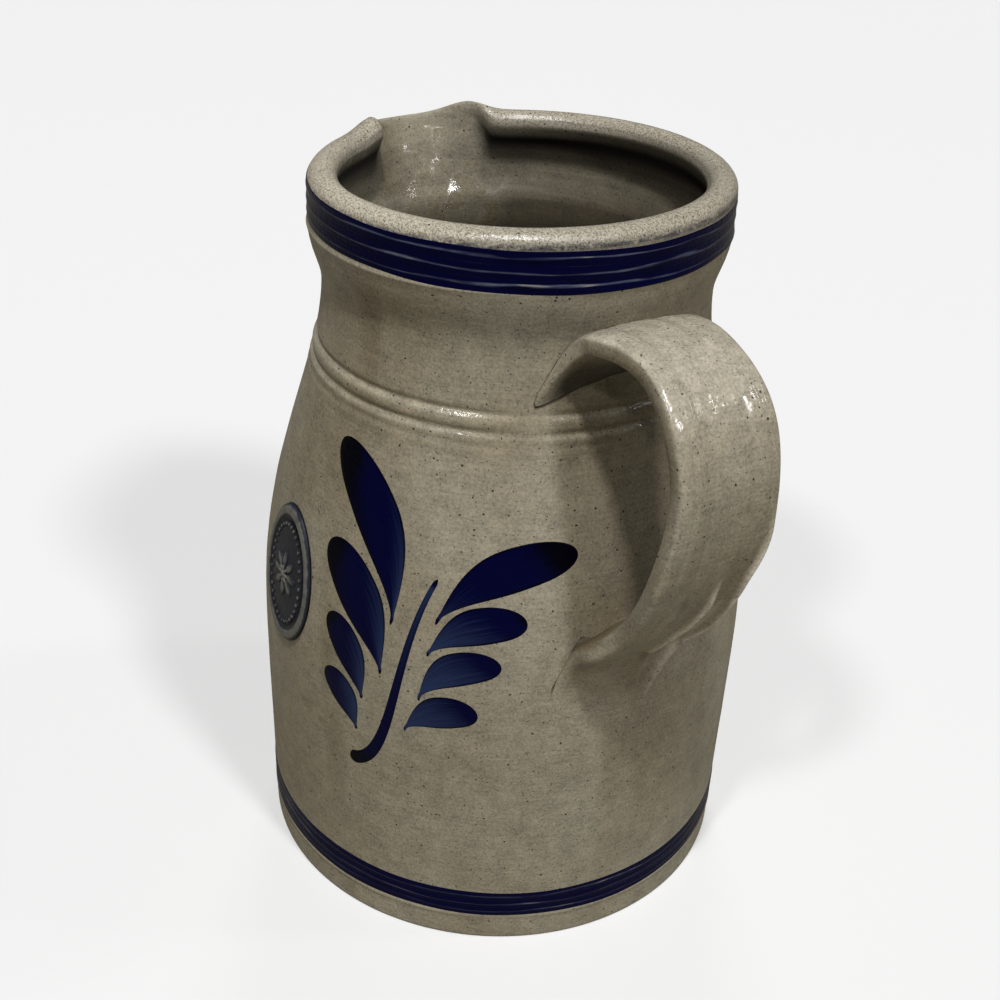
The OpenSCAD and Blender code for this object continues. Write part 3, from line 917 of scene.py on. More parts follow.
def root_rings(ring, way, root, body, find, tree):
    """Rings that lead from the strap's end to the wall in a hollow curve, with their cracks, the painted
    shade in their hollows and creases, and crests painted pale, partly as painted sheen.
    """
    shares = [(k + 1)/ROOT_STEPS for k in range(ROOT_STEPS - 1)] + [0.975, 1.0]
    rows, cracks_and_shade, crests_and_sheen = ([[] for _ in range(len(shares) + 1)] for _ in range(3))
    for (x, y), start in zip(section_shares(), ring):
        straight = tree.ray_cast(start - 4*MM*way, way)[0]
        spread, hug, (crack, shade) = root.spread(x, y), root.hug(x, y), root.crack(x, y)
        aside, z = root.place(x, y)
        turn = mix(math.atan2(straight.y, straight.x) % TAU, math.pi - aside/body.smooth_r(z), spread)
        place, normal = find(turn, mix(straight.z, z, spread))
        around = math.atan2(y, x)
        ragged = 1 + 0.2*math.sin(7*around) + 0.3*math.sin(19*around + 1)
        edge = place + mix(0.02*MM, ROOT_LIP*ragged, crack)*normal
        lifted = mix(edge, straight, hug) + 0.5*ROOT_LIP*crack*normal
        curve = [start, mix(start, straight, hug), lifted, edge]
        beyond = (place - straight).normalized()*1.5*MM*(1 - crack)*spread + way*MM*(1 - spread)
        for k, along in enumerate(shares + [1.0]):
            web = root.web(x, y, along)
            rows[k].append(bezier(curve, along) + WEB*web*normal)
            cracks_and_shade[k].append(max(shade*ease(along/0.6), crack if along == 1 else 0))
            # The web's ridge is painted pale, partly as painted sheen
            crests_and_sheen[k].append(0.55*web)
        rows[-1][-1] = place + beyond - ROOT_SINK*normal
    return rows, cracks_and_shade, crests_and_sheen


class PITCHER_OT_handle(bpy.types.Operator):
    """Pull the strap handle and smear its roots on to the wall"""
    bl_idname = "pitcher.handle"
    bl_label = "Handle"

    def execute(self, context):
        pitcher = context.scene.pitcher
        body, handle = pitcher.body, pitcher.handle
        find, tree = wall_finder(bpy.data.objects["thrown_body"])
        curves = strap_curves(body, handle)
        ways = [mix(STRAP_START, STRAP_END, i/STRAP_STEPS) for i in range(STRAP_STEPS + 1)]
        rings = [strap_ring(handle, curves, t) for t in ways]
        crests_and_sheen = [[strap_crest(x, y, t) for x, y in section_shares()] for t in ways]
        start, end = strap_way(curves, STRAP_START), strap_way(curves, STRAP_END)
        top, top_cracks_and_shade, top_crests_and_sheen = root_rings(
            rings[0], Vector((start.x, 0, -start.y)), UPPER_ROOT, body, find, tree)
        low, low_cracks_and_shade, low_crests_and_sheen = root_rings(
            rings[-1], Vector((-end.x, 0, end.y)), LOWER_ROOT, body, find, tree)
        cracks_and_shade = top_cracks_and_shade[::-1] + [[0.0]*SECTION]*len(rings) + low_cracks_and_shade
        crests_and_sheen = top_crests_and_sheen[::-1] + crests_and_sheen + low_crests_and_sheen
        rings = top[::-1] + rings + low
        points = [point for ring in rings for point in ring]
        faces = tube_faces(len(rings), SECTION)
        for ring in (0, len(rings) - 1):
            hub, first = len(points), ring*SECTION
            points.append(sum(rings[ring], Vector())/SECTION + CAP)
            faces += [(first + j, first + (j + 1) % SECTION, hub) for j in range(SECTION)]
        mesh = mesh_from("strap_handle", points, faces, numbers={
            "crest": [value for row in crests_and_sheen for value in row] + [0.0, 0.0],
            "crack": [value for row in cracks_and_shade for value in row] + [0.0, 0.0]})
        mesh.shade_smooth()
        mesh.materials.append(fired_glaze(pitcher.colours))
        settle(add_object("strap_handle", mesh), "salt_glaze", "handle")
        return {"FINISHED"}


# Slip laid on the wall

def on_wall(g, turn, height, out):
    """Place of a point that stands out from the wall at a turn and a height."""
    ray = g.join(turn.math("COSINE"), turn.math("SINE"), 0.0)
    start = g.vector_math("ADD", g.scaled(ray, g["Reach"]), g.join(0.0, 0.0, height))
    space = {"transform_space": "ORIGINAL"}
    wall = g.node("GeometryNodeObjectInfo", space, {"Object": g["Wall"]}, "Geometry")
    hit = g.node("GeometryNodeRaycast", {}, {
        "Target Geometry": wall, "Source Position": start, "Ray Direction": g.scaled(ray, -1.0),
        "Ray Length": g["Reach"]}, "Hit Position")
    return g.vector_math("ADD", hit, g.scaled(hit.out("Hit Normal"), out))


def lay_on_wall(colours):
    """Tree that lays flat slip on the wall: x is a turn, y stands out from the wall, z is a height."""
    g = Recipe("lay_on_wall", {
        "Reach": REACH, "Wall": bpy.data.objects["thrown_body"], "Material": brushed_cobalt(colours)})
    turn, out, height = g.split(g.node("GeometryNodeInputPosition"))
    g.finish(g.move(g["Geometry"], on_wall(g, turn, height, out)))
    return g


ACROSS = 12
SINK = 0.12*MM
RIDGE_SHARE = 0.2


def slip_row(middle, side, half, thick, edge, ridge=0):
    """Points across a stroke, over its top and back under it: place, height above the wall, share across."""
    row = []
    for j in range(ACROSS + 1):
        across = math.cos(math.pi*j/ACROSS)
        out = thick*edge*(1 - across**6)**0.5 + ridge*hump(across, RIDGE_SHARE)
        row.append((middle + side*half*across, out, across))
    for j in range(1, ACROSS):
        across = -math.cos(math.pi*j/ACROSS)
        row.append((middle + side*half*across, -SINK*edge, across))
    return row


def slip_mesh(name, rows, to_turn, load, side=0.0, ring=0.0):
    """A mesh of slip from its rows, with how far along and across each point is and the brush's load."""
    around = 2*ACROSS
    points = [(to_turn(place), out, place.y) for row in rows for place, out, _ in row]
    faces = tube_faces(len(rows), around, closed=ring > 0)
    last = len(rows) - 1
    return mesh_from(name, points, faces, numbers={
        "along": [i/last for i in range(len(rows)) for _ in range(around)],
        "across": [across for row in rows for _, _, across in row],
        "load": [load]*len(points),
        "side": [side]*len(points),
        "ring": [ring]*len(points)})


RING_STEPS = 360
RING_LOAD = 0.9
RING_OVERLAP = 0.8


class PITCHER_OT_bands(bpy.types.Operator):
    """Turn the cobalt rings of the rim and the foot"""
    bl_idname = "pitcher.bands"
    bl_label = "Bands"

    def execute(self, context):
        pitcher = context.scene.pitcher
        body, slip = pitcher.body, pitcher.slip
        spout = spout_values(body, pitcher.spout)
        tree = lay_on_wall(pitcher.colours)
        rim_z = body.roll_z - slip.rim_gap
        bands = [("rim_band_", i, rim_z, slip.rim_stripe, -1) for i in (1, 2, 3)]
        bands += [("foot_band_", i, slip.foot_z, slip.foot_stripe, 1) for i in (1, 2, 3)]
        for stem, i, edge, stripe, way in bands:
            z = edge + way*((i - 0.5)*stripe + (i - 1)*slip.gap)
            half = stripe/2 + RING_OVERLAP*slip.gap
            rows = []
            for k in range(RING_STEPS):
                off = mix(-math.pi, math.pi, k/RING_STEPS)
                lift = spout_lift(spout, off, z)
                uneven = 0.12*MM*math.sin(3*off + i) + 0.08*MM*math.sin(11*off + 2*i)
                middle = Vector((off, z + lift + uneven))
                rows.append(slip_row(middle, Vector((0, 1)), half, slip.thick, 1, slip.ridge))
            name = stem + str(i)
            mesh = slip_mesh(name, rows, lambda place: place.x + pitcher.spout.turn, RING_LOAD, ring=1.0)
            settle(tree.make("slip_" + name, mesh), "cobalt_slip", name)
        return {"FINISHED"}


Leaf = namedtuple("Leaf", "base tip half bow load side")
LEAVES = [
    Leaf((-3, 51), (-28.2, 96.5), 7.5, -6.3, 0.95, 0.35),
    Leaf((-6, 34.5), (-27, 69), 7.6, -3.5, 0.85, 0.35),
    Leaf((-12.5, 23.5), (-25, 47.5), 5.6, -2, 0.7, 0.3),
    Leaf((-14.5, 11.5), (-25.5, 29), 5, -1.5, 0.55, 0.3),
    Leaf((8, 54.5), (45.7, 77), 6.2, 5.2, 0.95, 0.05),
    Leaf((7, 44.5), (34, 58), 5.6, 4, 0.6, 0.1),
    Leaf((5.5, 29.5), (28, 45), 5.4, 4.5, 0.45, 0.1),
    Leaf((1.5, 17.8), (22.5, 28.6), 5.5, 3.3, 0.42, 0.1),
]
TAIL = 0.6*MM
STEM_LOAD = 0.8
STEM_PATH = [(-17, 0.5), (-1, 1), (-2.5, 45), (8, 67.5)]
WIDEST = 0.62
STROKE_STEPS = 56


def leaf_half(t):
    """Half width of a leaf at a share of its length: pointed at its base and round at its tip."""
    if t < WIDEST:
        return math.sin(math.pi/2*t/WIDEST)**1.3
    return math.sqrt(max(0, 1 - ((t - WIDEST)/(1 - WIDEST))**2.6))


def leaf_rows(leaf, thick):
    """Rows across a leaf, from its base to its tip."""
    base, tip = Vector(leaf.base)*MM, Vector(leaf.tip)*MM
    along = tip - base
    left = Vector((-along.y, along.x)).normalized()
    rows = []
    for i in range(STROKE_STEPS + 1):
        t = 0.5 - 0.5*math.cos(math.pi*i/STROKE_STEPS)
        tail = TAIL*min(1, t/0.02)**0.5*ease((0.3 - t)/0.2)
        half = max(leaf.half*MM*leaf_half(t), tail)
        middle = base + along*t + left*(leaf.bow*MM*math.sin(math.pi*t**0.8))
        rows.append(slip_row(middle, left, half, thick, min(1, half/(0.8*MM))))
    return rows


def stem_rows(slip):
    """Rows across the stem, from its thick lower end to its tip."""
    path = [Vector(point)*MM for point in STEM_PATH]
    rows = []
    for i in range(STROKE_STEPS + 1):
        t = 0.5 - 0.5*math.cos(math.pi*i/STROKE_STEPS)
        way = (bezier(path, min(t + 0.01, 1)) - bezier(path, max(t - 0.01, 0))).normalized()
        end = math.sqrt(1 - (1 - min(1, t/0.05))**2)*math.sqrt(min(1, (1 - t)/0.02))
        half = mix(slip.stem_w, slip.stem_tip_w, t**0.7)/2*end
        edge = min(1, half/(0.5*MM))
        rows.append(slip_row(bezier(path, t), Vector((-way.y, way.x)), half, slip.thick, edge))
    return rows


class PITCHER_OT_sprig(bpy.types.Operator):
    """Brush the leaf sprig in cobalt"""
    bl_idname = "pitcher.sprig"
    bl_label = "Sprig"

    def execute(self, context):
        pitcher = context.scene.pitcher
        body, slip = pitcher.body, pitcher.slip
        tree = lay_on_wall(pitcher.colours)
        strokes = [("leaf_%d" % i, leaf_rows(leaf, slip.thick), leaf.load, leaf.side)
                   for i, leaf in enumerate(LEAVES, 1)]
        strokes.append(("sprig_stem", stem_rows(slip)[::-1], STEM_LOAD, 0.0))
        for name, rows, load, side in strokes:
            sides = [place.x for row in rows for place, _, _ in row]
            heights = [slip.sprig_z + place.y for row in rows for place, _, _ in row]
            middle = (min(sides) + max(sides))/2
            turn = slip.sprig_turn + middle/body.smooth_r((min(heights) + max(heights))/2)
            for row in rows:
                for k, (place, out, across) in enumerate(row):
                    row[k] = (Vector((place.x, place.y + slip.sprig_z)), out, across)
            mesh = slip_mesh(
                name, rows, lambda place: turn + (place.x - middle)/body.smooth_r(place.y), load, side)
            settle(tree.make("slip_" + name, mesh), "cobalt_slip", name)
        return {"FINISHED"}


# Medallion

TABLET_ROWS = 60
TABLET_FRONT = 52
TABLET_TURNS = 97
FIELD = 0.55


def pressed_medallion(values):
    """Tree that presses an oval tablet: a border, a row of beads and a rosette, bent round the wall."""
    g = Recipe("pressed_medallion", values)
    width, tall, thick = g["Width"], g["Height"], g["Thickness"]

    # Tablet: rows run from the middle of its face to its edge, and back behind it
    sockets = {"Vertices X": TABLET_ROWS, "Vertices Y": TABLET_TURNS}
    grid = g.node("GeometryNodeMeshGrid", {}, sockets, "Mesh")
    index = g.node("GeometryNodeInputIndex")
    row = ((index + 0.5)/TABLET_TURNS).math("FLOOR")
    turn = (index - row*TABLET_TURNS)/(TABLET_TURNS - 1)*TAU
    share_out = row/TABLET_FRONT
    back = most(share_out - 1.0, 0.0)*(TABLET_FRONT/(TABLET_ROWS - TABLET_FRONT - 1))
    reach = least(share_out, 1.0) - back
    border = g.step(0.80, 0.85, reach) - g.step(0.93, 1.0, reach)
    groove = g.step(0.70, 0.74, reach) - g.step(0.76, 0.80, reach)
    face = thick*(FIELD + 0.45*border - 0.2*groove)*(1 - g.step(0.985, 1.0, reach))
    front = 1 - g.step(TABLET_FRONT - 0.5, TABLET_FRONT + 0.5, row)
    out = face*front - (1 - front)*0.3*MM
    aside, up = reach*width*0.5*turn.math("COSINE"), reach*tall*0.5*turn.math("SINE")
    tablet = g.move(grid, g.join(aside, out, up))

    # Beads inside the border, and two rings of petals round a boss
    def ring(number, share_w, share_h, shape, scale):
        """Copies of a shape on an oval."""
        line = g.node("GeometryNodeMeshLine", {"mode": "OFFSET"}, {"Count": number})
        place = g.node("GeometryNodeInputIndex")/number*TAU
        aside, up = place.math("COSINE")*width*(share_w/2), place.math("SINE")*tall*(share_h/2)
        line = g.move(line, g.join(aside, thick*FIELD, up))
        tilt = g.join(0.0, -place, 0.0)
        sockets = {"Points": line, "Instance": shape, "Rotation": tilt, "Scale": scale}
        return g.node("GeometryNodeInstanceOnPoints", {}, sockets)

    ball = g.node("GeometryNodeMeshUVSphere", {}, {"Segments": 16, "Rings": 8, "Radius": 1.0}, "Mesh")
    beads = ring(g["Beads"], 0.66, 0.71, ball, g.join(0.75*MM, thick*0.42, 0.75*MM))
    petals = ring(g["Petals"], 0.30, 0.205, ball, g.join(2.9*MM, thick*0.45, 1.35*MM))
    inner = ring(g["Petals"], 0.13, 0.089, ball, g.join(1.3*MM, thick*0.6, 0.6*MM))
    boss = ring(1, 0.0, 0.0, ball, g.join(1.5*MM, thick*0.75, 1.5*MM))
    whole = g.node("GeometryNodeJoinGeometry")
    for part in (tablet, beads, petals, inner, boss):
        g.tree.links.new(part.socket, whole.socket.node.inputs["Geometry"])
    flat = g.node("GeometryNodeRealizeInstances", {}, {"Geometry": whole})

    # Bent round the wall
    aside, out, up = g.split(g.node("GeometryNodeInputPosition"))
    flat = g.store(flat, "raised", out/thick)
    turn = g["Turn"] + aside/g["Wall radius"]
    g.finish(g.move(flat, on_wall(g, turn, up + g["Middle"], out)))
    return g


class PITCHER_OT_medallion(bpy.types.Operator):
    """Press the oval medallion on to the wall"""
    bl_idname = "pitcher.medallion"
    bl_label = "Medallion"

    def execute(self, context):
        pitcher = context.scene.pitcher
        body, sizes = pitcher.body, pitcher.medallion
        seed = mesh_from("medallion_seed", [(0, 0, 0)])
        tablet = pressed_medallion({
            "Width": sizes.width, "Height": sizes.height, "Thickness": sizes.thick, "Beads": sizes.beads,
            "Petals": sizes.petals, "Turn": sizes.turn, "Middle": sizes.z,
            "Wall radius": body.smooth_r(sizes.z), "Wall": bpy.data.objects["thrown_body"], "Reach": REACH,
            "Material": worn_slate(pitcher.colours)})
        settle(tablet.make("pressed_medallion", seed), "slate_slip", "medallion")
        return {"FINISHED"}


# Finishes

class Finish(Graph):
    """The node tree of a material with one glossy shader."""

    def __init__(self, name):
        self.material = bpy.data.materials.new(name)
        self.material.use_nodes = True
        super().__init__(self.material.node_tree)
        self.shader = self.tree.nodes["Principled BSDF"]
        self.place = self.node("ShaderNodeTexCoord", {}, {}, "Object")
        self.base = None

    def mix_colour(self, factor, low, high, kind="MIX"):
        """A colour between two colours."""
        settings = {"data_type": "RGBA", "blend_type": kind, "clamp_factor": True}
        return self.node("ShaderNodeMix", settings, {0: factor, 6: rgba(low), 7: rgba(high)}, 2)

    def coat(self, factor, colour):
        """Lays one more colour over the base."""
        self.base = self.mix_colour(factor, self.base, colour)

    def tint(self, base, value):
        """A colour made lighter or darker by a value."""
        return self.mix_colour(1.0, base, value, "MULTIPLY")

    def stretched(self, x, y, z):
        """Object coordinates stretched along their axes."""
        return self.node("ShaderNodeMapping", {}, {"Vector": self.place, "Scale": (x, y, z)})

    def attribute(self, name):
        """A number kept with the mesh."""
        return self.node("ShaderNodeAttribute", {"attribute_name": name}, {}, "Fac")

    def specks(self, scale, reach, share_of_cells):
        """Ragged specks of mixed sizes, in a share of the cells of a random pattern."""
        shake = self.noise(self.place, scale*4).out("Color")
        place = self.vector_math("MULTIPLY_ADD", shake, (0.16/scale,)*3, self.place)
        cell = self.node("ShaderNodeTexVoronoi", {}, {"Vector": place, "Scale": scale}, "Distance")
        red, green, _ = self.split(cell.out("Color"))
        spread = reach*(0.35 + 0.65*green)
        return (1 - self.step(spread*0.6, spread, cell))*(red.math("LESS_THAN", share_of_cells))

    def finish(self, roughness, height, depth, **constants):
        """Links the varying inputs and sets the constant ones."""
        bump = self.node("ShaderNodeBump", {}, {"Strength": 1.0, "Distance": depth, "Height": height})
        for key, value in (("Base Color", self.base), ("Roughness", roughness), ("Normal", bump)):
            self.tree.links.new(value.socket, self.shader.inputs[key])
        for key, value in constants.items():
            self.shader.inputs[key.replace("_", " ")].default_value = value
        return self.material


def rgba(value):
    """A colour as the four numbers that a socket takes."""
    return value if isinstance(value, Wire) else (*value, 1.0)


def once(make):
    """Lets a material be made when it is first asked for, and found after that."""
    def found(colours):
        """The material, found or made."""
        return bpy.data.materials.get(make.__name__) or make(colours)

    return found


# Soft edges in the glaze and in its painted light and shade: heights, places to the side or to the front,
# and distances from the axis

DEEP_Z = (165*MM, 222*MM)
SHELF_Z = (192*MM, 197*MM)
SHADED_BACK_Y = (-28*MM, -12*MM)
LEFT_SHADE_TURN = math.radians(98)
LEFT_SHADE_REACH = 66*MM
LEFT_SHADE_Z = (100*MM, 150*MM)
NECK_Z = (170*MM, 190*MM)
HANDLE_SHADE_X = (0, 20*MM)
HANDLE_SHADE_Y = (18*MM, 22*MM)
HANDLE_SHADE_LOW_Z = (102*MM, 114*MM)
HANDLE_SHADE_HIGH_Z = (170*MM, 186*MM)
STRAP_AWAY = (78*MM, 82*MM)
LEDGE_AWAY = (84*MM, 90*MM)
LEDGE_X = (50*MM, 60*MM)
LEDGE_Z = (116*MM, 124*MM)
LIT_LEFT_RIM_Y = (30*MM, 58*MM)


@once
def fired_glaze(colours):
    """Olive grey salt glaze: mottled, flecked with iron and pebbled like orange peel."""
    g = Finish("fired_glaze")
    rim, inside, haze, crest, crack = map(g.attribute, ("rim", "inside", "haze", "crest", "crack"))
    x, y, z = g.split(g.place)
    _, _, up = g.split(g.node("ShaderNodeTexCoord", {}, {}, "Normal"))

    # Clouds and drips of the kiln, and painted shade down inside: darker low down, below the shelf under the
    # neck, in rings and on the back wall
    clouds = g.noise(g.place, 19, 3, 0.55)
    g.base = g.mix_colour(g.step(0.35, 0.68, clouds), colours.glaze, colours.warm)
    drips = g.noise(g.stretched(34, 34, 5), 1.0, 3, 0.6)
    g.coat(g.step(0.56, 0.80, drips)*0.55, colours.stain)
    deep, shelf = 1 - g.step(*DEEP_Z, z), 1 - g.step(*SHELF_Z, z)
    stripes = g.step(0.42, 0.62, g.noise(g.stretched(7, 7, 230), 1.0, 2))
    shaded_back_wall = 1 - g.step(*SHADED_BACK_Y, y)
    inside_shade = 0.2 + 0.5*deep + 0.25*shelf + 0.15*stripes + 0.3*shaded_back_wall
    g.coat(inside*inside_shade, colours.deep)
    # Painted shade on the left side of the body below the neck, with a brown cast
    left_side_shade = g.step(0.82, 1.0, (x*math.cos(LEFT_SHADE_TURN) + y*math.sin(LEFT_SHADE_TURN))/LEFT_SHADE_REACH)
    left_side_shade = left_side_shade*g.step(*LEFT_SHADE_Z, z)*(1 - g.step(*NECK_Z, z))*(1 - inside)
    g.coat(left_side_shade*(0.1 + 0.6*clouds), colours.stain)

    # Painted shade that deepens the handle's shadow on the wall behind it
    away = (x*x + y*y)**0.5
    beyond = g.step(*STRAP_AWAY, away)
    handle_shade = (1 - g.step(*HANDLE_SHADE_Y, abs(y)))*g.step(*HANDLE_SHADE_X, -x)*(1 - beyond)*(1 - inside)
    handle_shade = handle_shade*g.step(*HANDLE_SHADE_LOW_Z, z)*(1 - g.step(*HANDLE_SHADE_HIGH_Z, z))
    g.coat(handle_shade*0.4, colours.stain)

    # Salt settles thicker and glossier on what faces up, but not on the lower root. What faces up is also
    # painted paler, as painted light from above; the ledge gets painted shade, and crests are painted pale,
    # partly thin glaze and partly painted sheen
    patchy = g.step(0.4, 0.56, g.noise(g.place, 70, 2))
    ledge = (1 - g.step(*LEDGE_AWAY, away))*g.step(*LEDGE_X, -x)*(1 - g.step(*LEDGE_Z, z))
    settled = g.step(0.2, 0.65, up)*(0.75 + 0.25*patchy)*(1 - ledge)
    pooled = g.step(0.5, 0.58, g.noise(g.place, 150, 2))*(1 - shaded_back_wall)
    dry = inside*(1 - rim)*(1 - pooled)
    gloss = most(settled*(1 - inside*(1 - rim)), inside*pooled)*(1 - crack)
    painted_top_light = g.step(0.25, 0.95, up)
    g.coat(painted_top_light*(1 - inside)*(1 - ledge)*0.7, colours.rim)
    # Painted shade on the ledge of the lower root
    g.coat(ledge*g.step(0.15, 0.5, up)*0.8, colours.stain)
    # Pale crests, partly thin glaze and partly painted sheen
    g.coat(crest*0.8, colours.crest)
    grain = g.noise(g.place, 1300, 2, 0.7)
    blotch = g.noise(g.place, 150, 4, 0.65)
    brushed = g.noise(g.stretched(120, 120, 1500), 1.0, 2, 0.6)
    g.base = g.tint(g.base, 1.2*grain + 0.9*blotch + 0.5*brushed - 0.3)
    sand = g.noise(g.place, 1700, 3, 0.8)
    pale = g.mix_colour(g.step(0.37, 0.57, sand), colours.sand, colours.rim)
    # The left side of the rim is painted paler, as painted light
    pale = g.tint(pale, 1 + 0.4*g.step(*LIT_LEFT_RIM_Y, y))
    g.coat(rim*0.85, pale)
    cloud_edge = haze*g.step(0.2, 0.65, g.noise(g.stretched(400, 400, 900), 1.0, 2, 0.6))
    g.coat(cloud_edge*0.85, colours.cobalt)

    # Pale specks that are painted glints, and grains of iron
    salt = g.specks(600, 0.17, 0.35)
    fine = g.specks(800, 0.24, 0.8)
    flecks = most(g.specks(360, 0.16, 1.0), 0.8*g.specks(540, 0.17, 0.8))
    g.coat(salt*0.45*(1 - inside), colours.rim)
    g.coat(fine*0.55, colours.iron)
    g.coat(flecks*0.92, colours.iron)
    # Dark cracks at the roots, and painted shade in the crease under the rolled rim and in the hollows of
    # the roots
    g.coat(crack*0.96, colours.iron)
    peel = mix(g.noise(g.place, 700, 2, 0.5), 2.2*g.noise(g.place, 260, 2, 0.5), beyond)
    height = peel*(0.35 + 0.65*gloss)*(1 - 0.5*inside)
    height = height + 0.3*sand*rim - 0.4*flecks - 0.2*fine + 0.2*salt
    roughness = 0.52 - 0.42*most(gloss, crest*0.8) + 0.08*clouds + 0.06*rim + 0.4*crack + 0.25*dry
    return g.finish(roughness, height, 0.2*MM, Specular_IOR_Level=0.4)


LINE_Z = (50*MM, 150*MM)


@once
def brushed_cobalt(colours):
    """Brushed cobalt: near black where it pools, blue between, and streaky where the brush runs dry."""
    g = Finish("brushed_cobalt")
    along, across, load, side, ring = map(g.attribute, ("along", "across", "load", "side", "ring"))
    streak = g.noise(g.join(across*6, along*1.6, load*40), 1.0, 3, 0.6)
    fine = g.noise(g.join(across*22, along*3, load*40), 1.0, 2, 0.6)
    patch = g.noise(g.stretched(60, 60, 900), 1.0, 2, 0.6)
    tip = g.step(0.6, 0.95, along)*load
    stroke = load*0.9 + along - 0.5 + side*across + 0.5*tip + 0.5*(streak - 0.5) + 0.3*(fine - 0.5)
    stroke = stroke + 1.2*(1 - g.step(0.05, 0.14, along))
    wet = mix(stroke, 0.5 + 0.9*patch, ring)
    g.base = g.mix_colour(g.step(0.1, 0.75, wet), colours.wash, colours.cobalt)
    g.coat(g.step(0.95, 1.35, wet), colours.pool)
    edge = g.step(0.84, 0.96, abs(across))
    g.coat(edge*0.8*(1 - ring), colours.pool)

    # A ring is thin along the line that the brush leaves, and at its ragged edges; the pale line there is
    # partly painted highlight on the ring's ridge, and its brighter broken dashes are painted glints
    wander = 1.5*(g.noise(g.stretched(30, 30, 300), 1.0, 2) - 0.5)
    line = 1 - g.step(0.02, 0.2, abs(across + wander))
    broken = g.noise(g.stretched(45, 45, 400), 1.0, 3, 0.7)
    _, _, z = g.split(g.place)
    line = line*ring*(0.5 + 0.5*g.step(*LINE_Z, z))
    g.coat(line*(0.15 + 0.85*g.step(0.35, 0.65, broken)), colours.line)
    g.coat(line*g.step(0.58, 0.7, broken)*0.6, colours.rim)
    peel = g.noise(g.place, 700, 2, 0.5)
    return g.finish(0.24 + 0.16*streak, peel + 0.3*fine, 0.14*MM, Specular_IOR_Level=0.05)


def worn_slate(colours):
    """Dark slate glaze, worn pale on the raised lines."""
    g = Finish("worn_slate")
    raised = g.attribute("raised")
    patch = g.noise(g.place, 420, 3, 0.6)
    worn = g.step(0.72, 1.05, raised + 0.5*(patch - 0.5))
    g.base = g.mix_colour(worn*0.7, colours.slate, colours.worn)
    g.base = g.tint(g.base, 0.75 + 0.5*g.noise(g.place, 140, 3, 0.6))
    deep = 1 - g.step(0.38, 0.5, raised)
    g.coat(deep*0.6, colours.pool)
    return g.finish(0.32 + 0.2*patch, patch, 0.15*MM, Specular_IOR_Level=0.1)


def pale_floor(colours):
    """Plain pale floor, which is paler to the camera than as a light."""
    g = Finish("pale_floor")
    rays = g.node("ShaderNodeLightPath", {}, {}, "Is Camera Ray")
    g.base = g.mix_colour(rays, colours.bounce, colours.floor)
    g.tree.links.new(g.base.socket, g.shader.inputs["Base Color"])
    g.shader.inputs["Roughness"].default_value = 0.8
    g.shader.inputs["Specular IOR Level"].default_value = 0.2
    return g.material


# Stage

CAMERA_TURN = math.radians(149)
CAMERA_AWAY = 379.47*MM
CAMERA_UP = 338.63*MM
CAMERA_PITCH = math.radians(30.764)
CAMERA_YAW = math.radians(-0.295)
CAMERA_ROLL = math.radians(2.669)
CAMERA_LENS = 50.4
Lamp = namedtuple("Lamp", "name turn rise spread strength highlights")
LAMPS = (
    Lamp("key", 147, 70, 6, 2.85, True),
    Lamp("room", 188, 45, 8, 1.2, True),
    Lamp("front", 118, 50, 6, 0.8, True),
    Lamp("side", 242, 38, 6, 0.22, True),
    Lamp("back", 329, 16, 20, 0.9, False),
)
FAINT = 0.05
FLOOR_REACH = 4.0


def add_camera(scene):
    """Camera at the height and angle that show the object as the picture does."""
    data = bpy.data.cameras.new("camera")
    data.lens = CAMERA_LENS
    data.sensor_width = 36
    data.sensor_fit = "HORIZONTAL"
    camera = add_object("camera", data)
    right = Vector((math.cos(CAMERA_YAW), -math.sin(CAMERA_YAW), 0))
    ahead = Vector((math.sin(CAMERA_YAW), math.cos(CAMERA_YAW), 0))
    level = math.cos(CAMERA_PITCH)*ahead - Vector((0, 0, math.sin(CAMERA_PITCH)))
    up = right.cross(level)
    x = math.cos(CAMERA_ROLL)*right + math.sin(CAMERA_ROLL)*up
    y = math.cos(CAMERA_ROLL)*up - math.sin(CAMERA_ROLL)*right
    turned = Matrix((x, y, -level)).transposed().to_4x4()
    swing = Matrix.Rotation(CAMERA_TURN + math.pi/2, 4, "Z")
    camera.matrix_world = swing @ Matrix.Translation((0, -CAMERA_AWAY, CAMERA_UP)) @ turned
    scene.camera = camera


def add_sun(lamp):
    """Even light from one side, with its turn, its rise and its spread in degrees."""
    turn, rise = math.radians(lamp.turn), math.radians(lamp.rise)
    data = bpy.data.lights.new(lamp.name, "SUN")
    data.angle = math.radians(lamp.spread)
    data.energy = lamp.strength
    way = Vector((math.cos(turn)*math.cos(rise), math.sin(turn)*math.cos(rise), math.sin(rise)))
    sun = add_object(lamp.name, data)
    sun.rotation_euler = way.to_track_quat("Z", "Y").to_euler()
    sun.visible_glossy = lamp.highlights


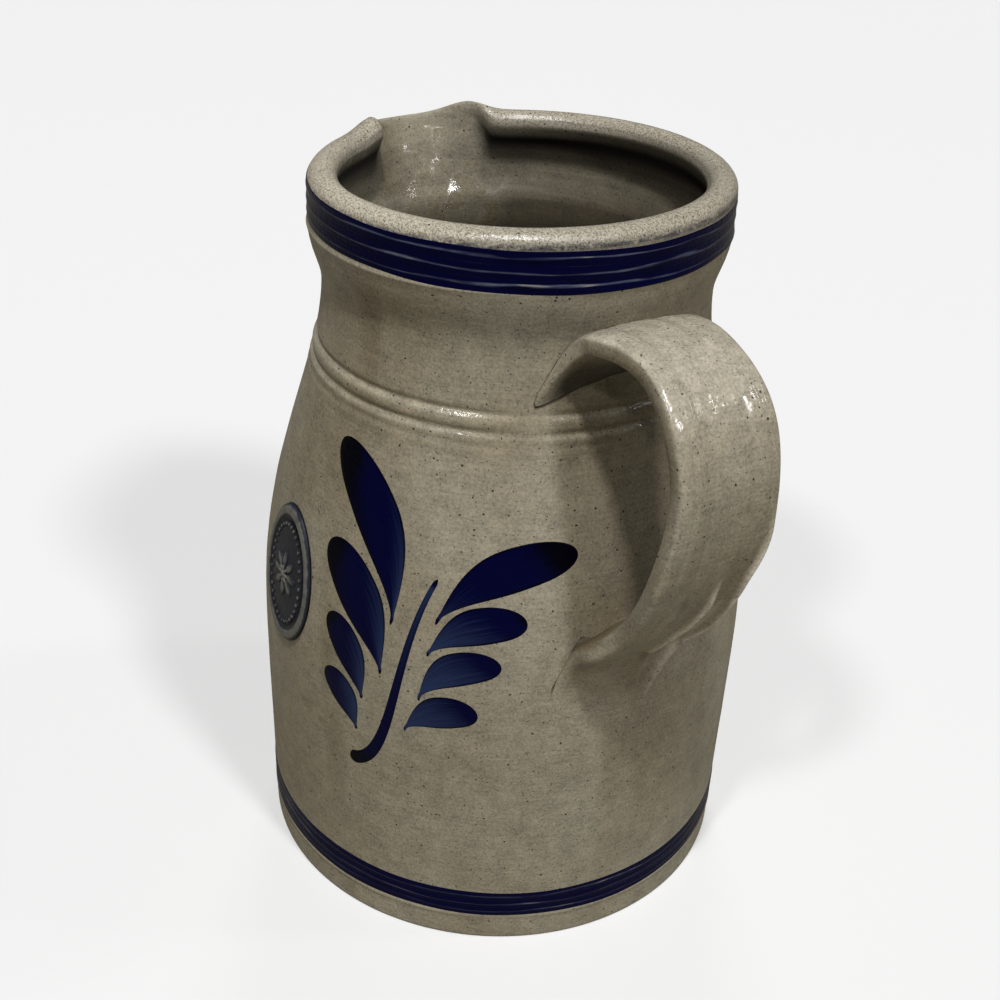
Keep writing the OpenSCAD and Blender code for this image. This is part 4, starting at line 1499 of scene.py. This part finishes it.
def add_world(scene):
    """White surroundings: plain white to the camera, and only a faint light on the object."""
    world = bpy.data.worlds.new("studio")
    world.use_nodes = True
    scene.world = world
    g = Graph(world.node_tree)
    rays = g.node("ShaderNodeLightPath", {}, {}, "Is Camera Ray")
    strength = FAINT + (1 - FAINT)*rays
    g.tree.links.new(strength.socket, g.tree.nodes["Background"].inputs["Strength"])
    g.tree.nodes["Background"].inputs["Color"].default_value = (1, 1, 1, 1)


class PITCHER_OT_stage(bpy.types.Operator):
    """Set the floor, the lamps and the camera"""
    bl_idname = "pitcher.stage"
    bl_label = "Stage"

    def execute(self, context):
        scene = context.scene
        corners = [(x*FLOOR_REACH, y*FLOOR_REACH, 0) for x, y in ((-1, -1), (1, -1), (1, 1), (-1, 1))]
        floor = add_object("floor", mesh_from("floor", corners, [(0, 1, 2, 3)]))
        floor.data.materials.append(pale_floor(scene.pitcher.colours))
        for lamp in LAMPS:
            add_sun(lamp)
        add_camera(scene)
        add_world(scene)
        scene.view_settings.view_transform = "Standard"
        return {"FINISHED"}


class PITCHER_PT_panel(bpy.types.Panel):
    """Lists the steps that make the pitcher"""
    bl_idname = "PITCHER_PT_panel"
    bl_label = "Pitcher"
    bl_space_type = "VIEW_3D"
    bl_region_type = "UI"
    bl_category = "Pitcher"

    def draw(self, context):
        for step in STEPS:
            self.layout.operator(step.bl_idname)


STEPS = (PITCHER_OT_stage, PITCHER_OT_body, PITCHER_OT_handle, PITCHER_OT_bands, PITCHER_OT_sprig,
         PITCHER_OT_medallion)
GROUPS = (BodySizes, SpoutSizes, HandleSizes, MedallionSizes, SlipSizes, Colours, PitcherSettings)
CLASSES = GROUPS + STEPS + (PITCHER_PT_panel,)


def register():
    """Adds the settings, the steps and the panel to Blender."""
    for item in CLASSES:
        bpy.utils.register_class(item)
    bpy.types.Scene.pitcher = PointerProperty(type=PitcherSettings)


def unregister():
    """Takes them out again."""
    del bpy.types.Scene.pitcher
    for item in reversed(CLASSES):
        bpy.utils.unregister_class(item)


def main():
    """Makes the whole pitcher, step by step."""
    register()
    bpy.ops.pitcher.stage()
    bpy.ops.pitcher.body()
    bpy.ops.pitcher.handle()
    bpy.ops.pitcher.bands()
    bpy.ops.pitcher.sprig()
    bpy.ops.pitcher.medallion()


if __name__ == "__main__":
    main()
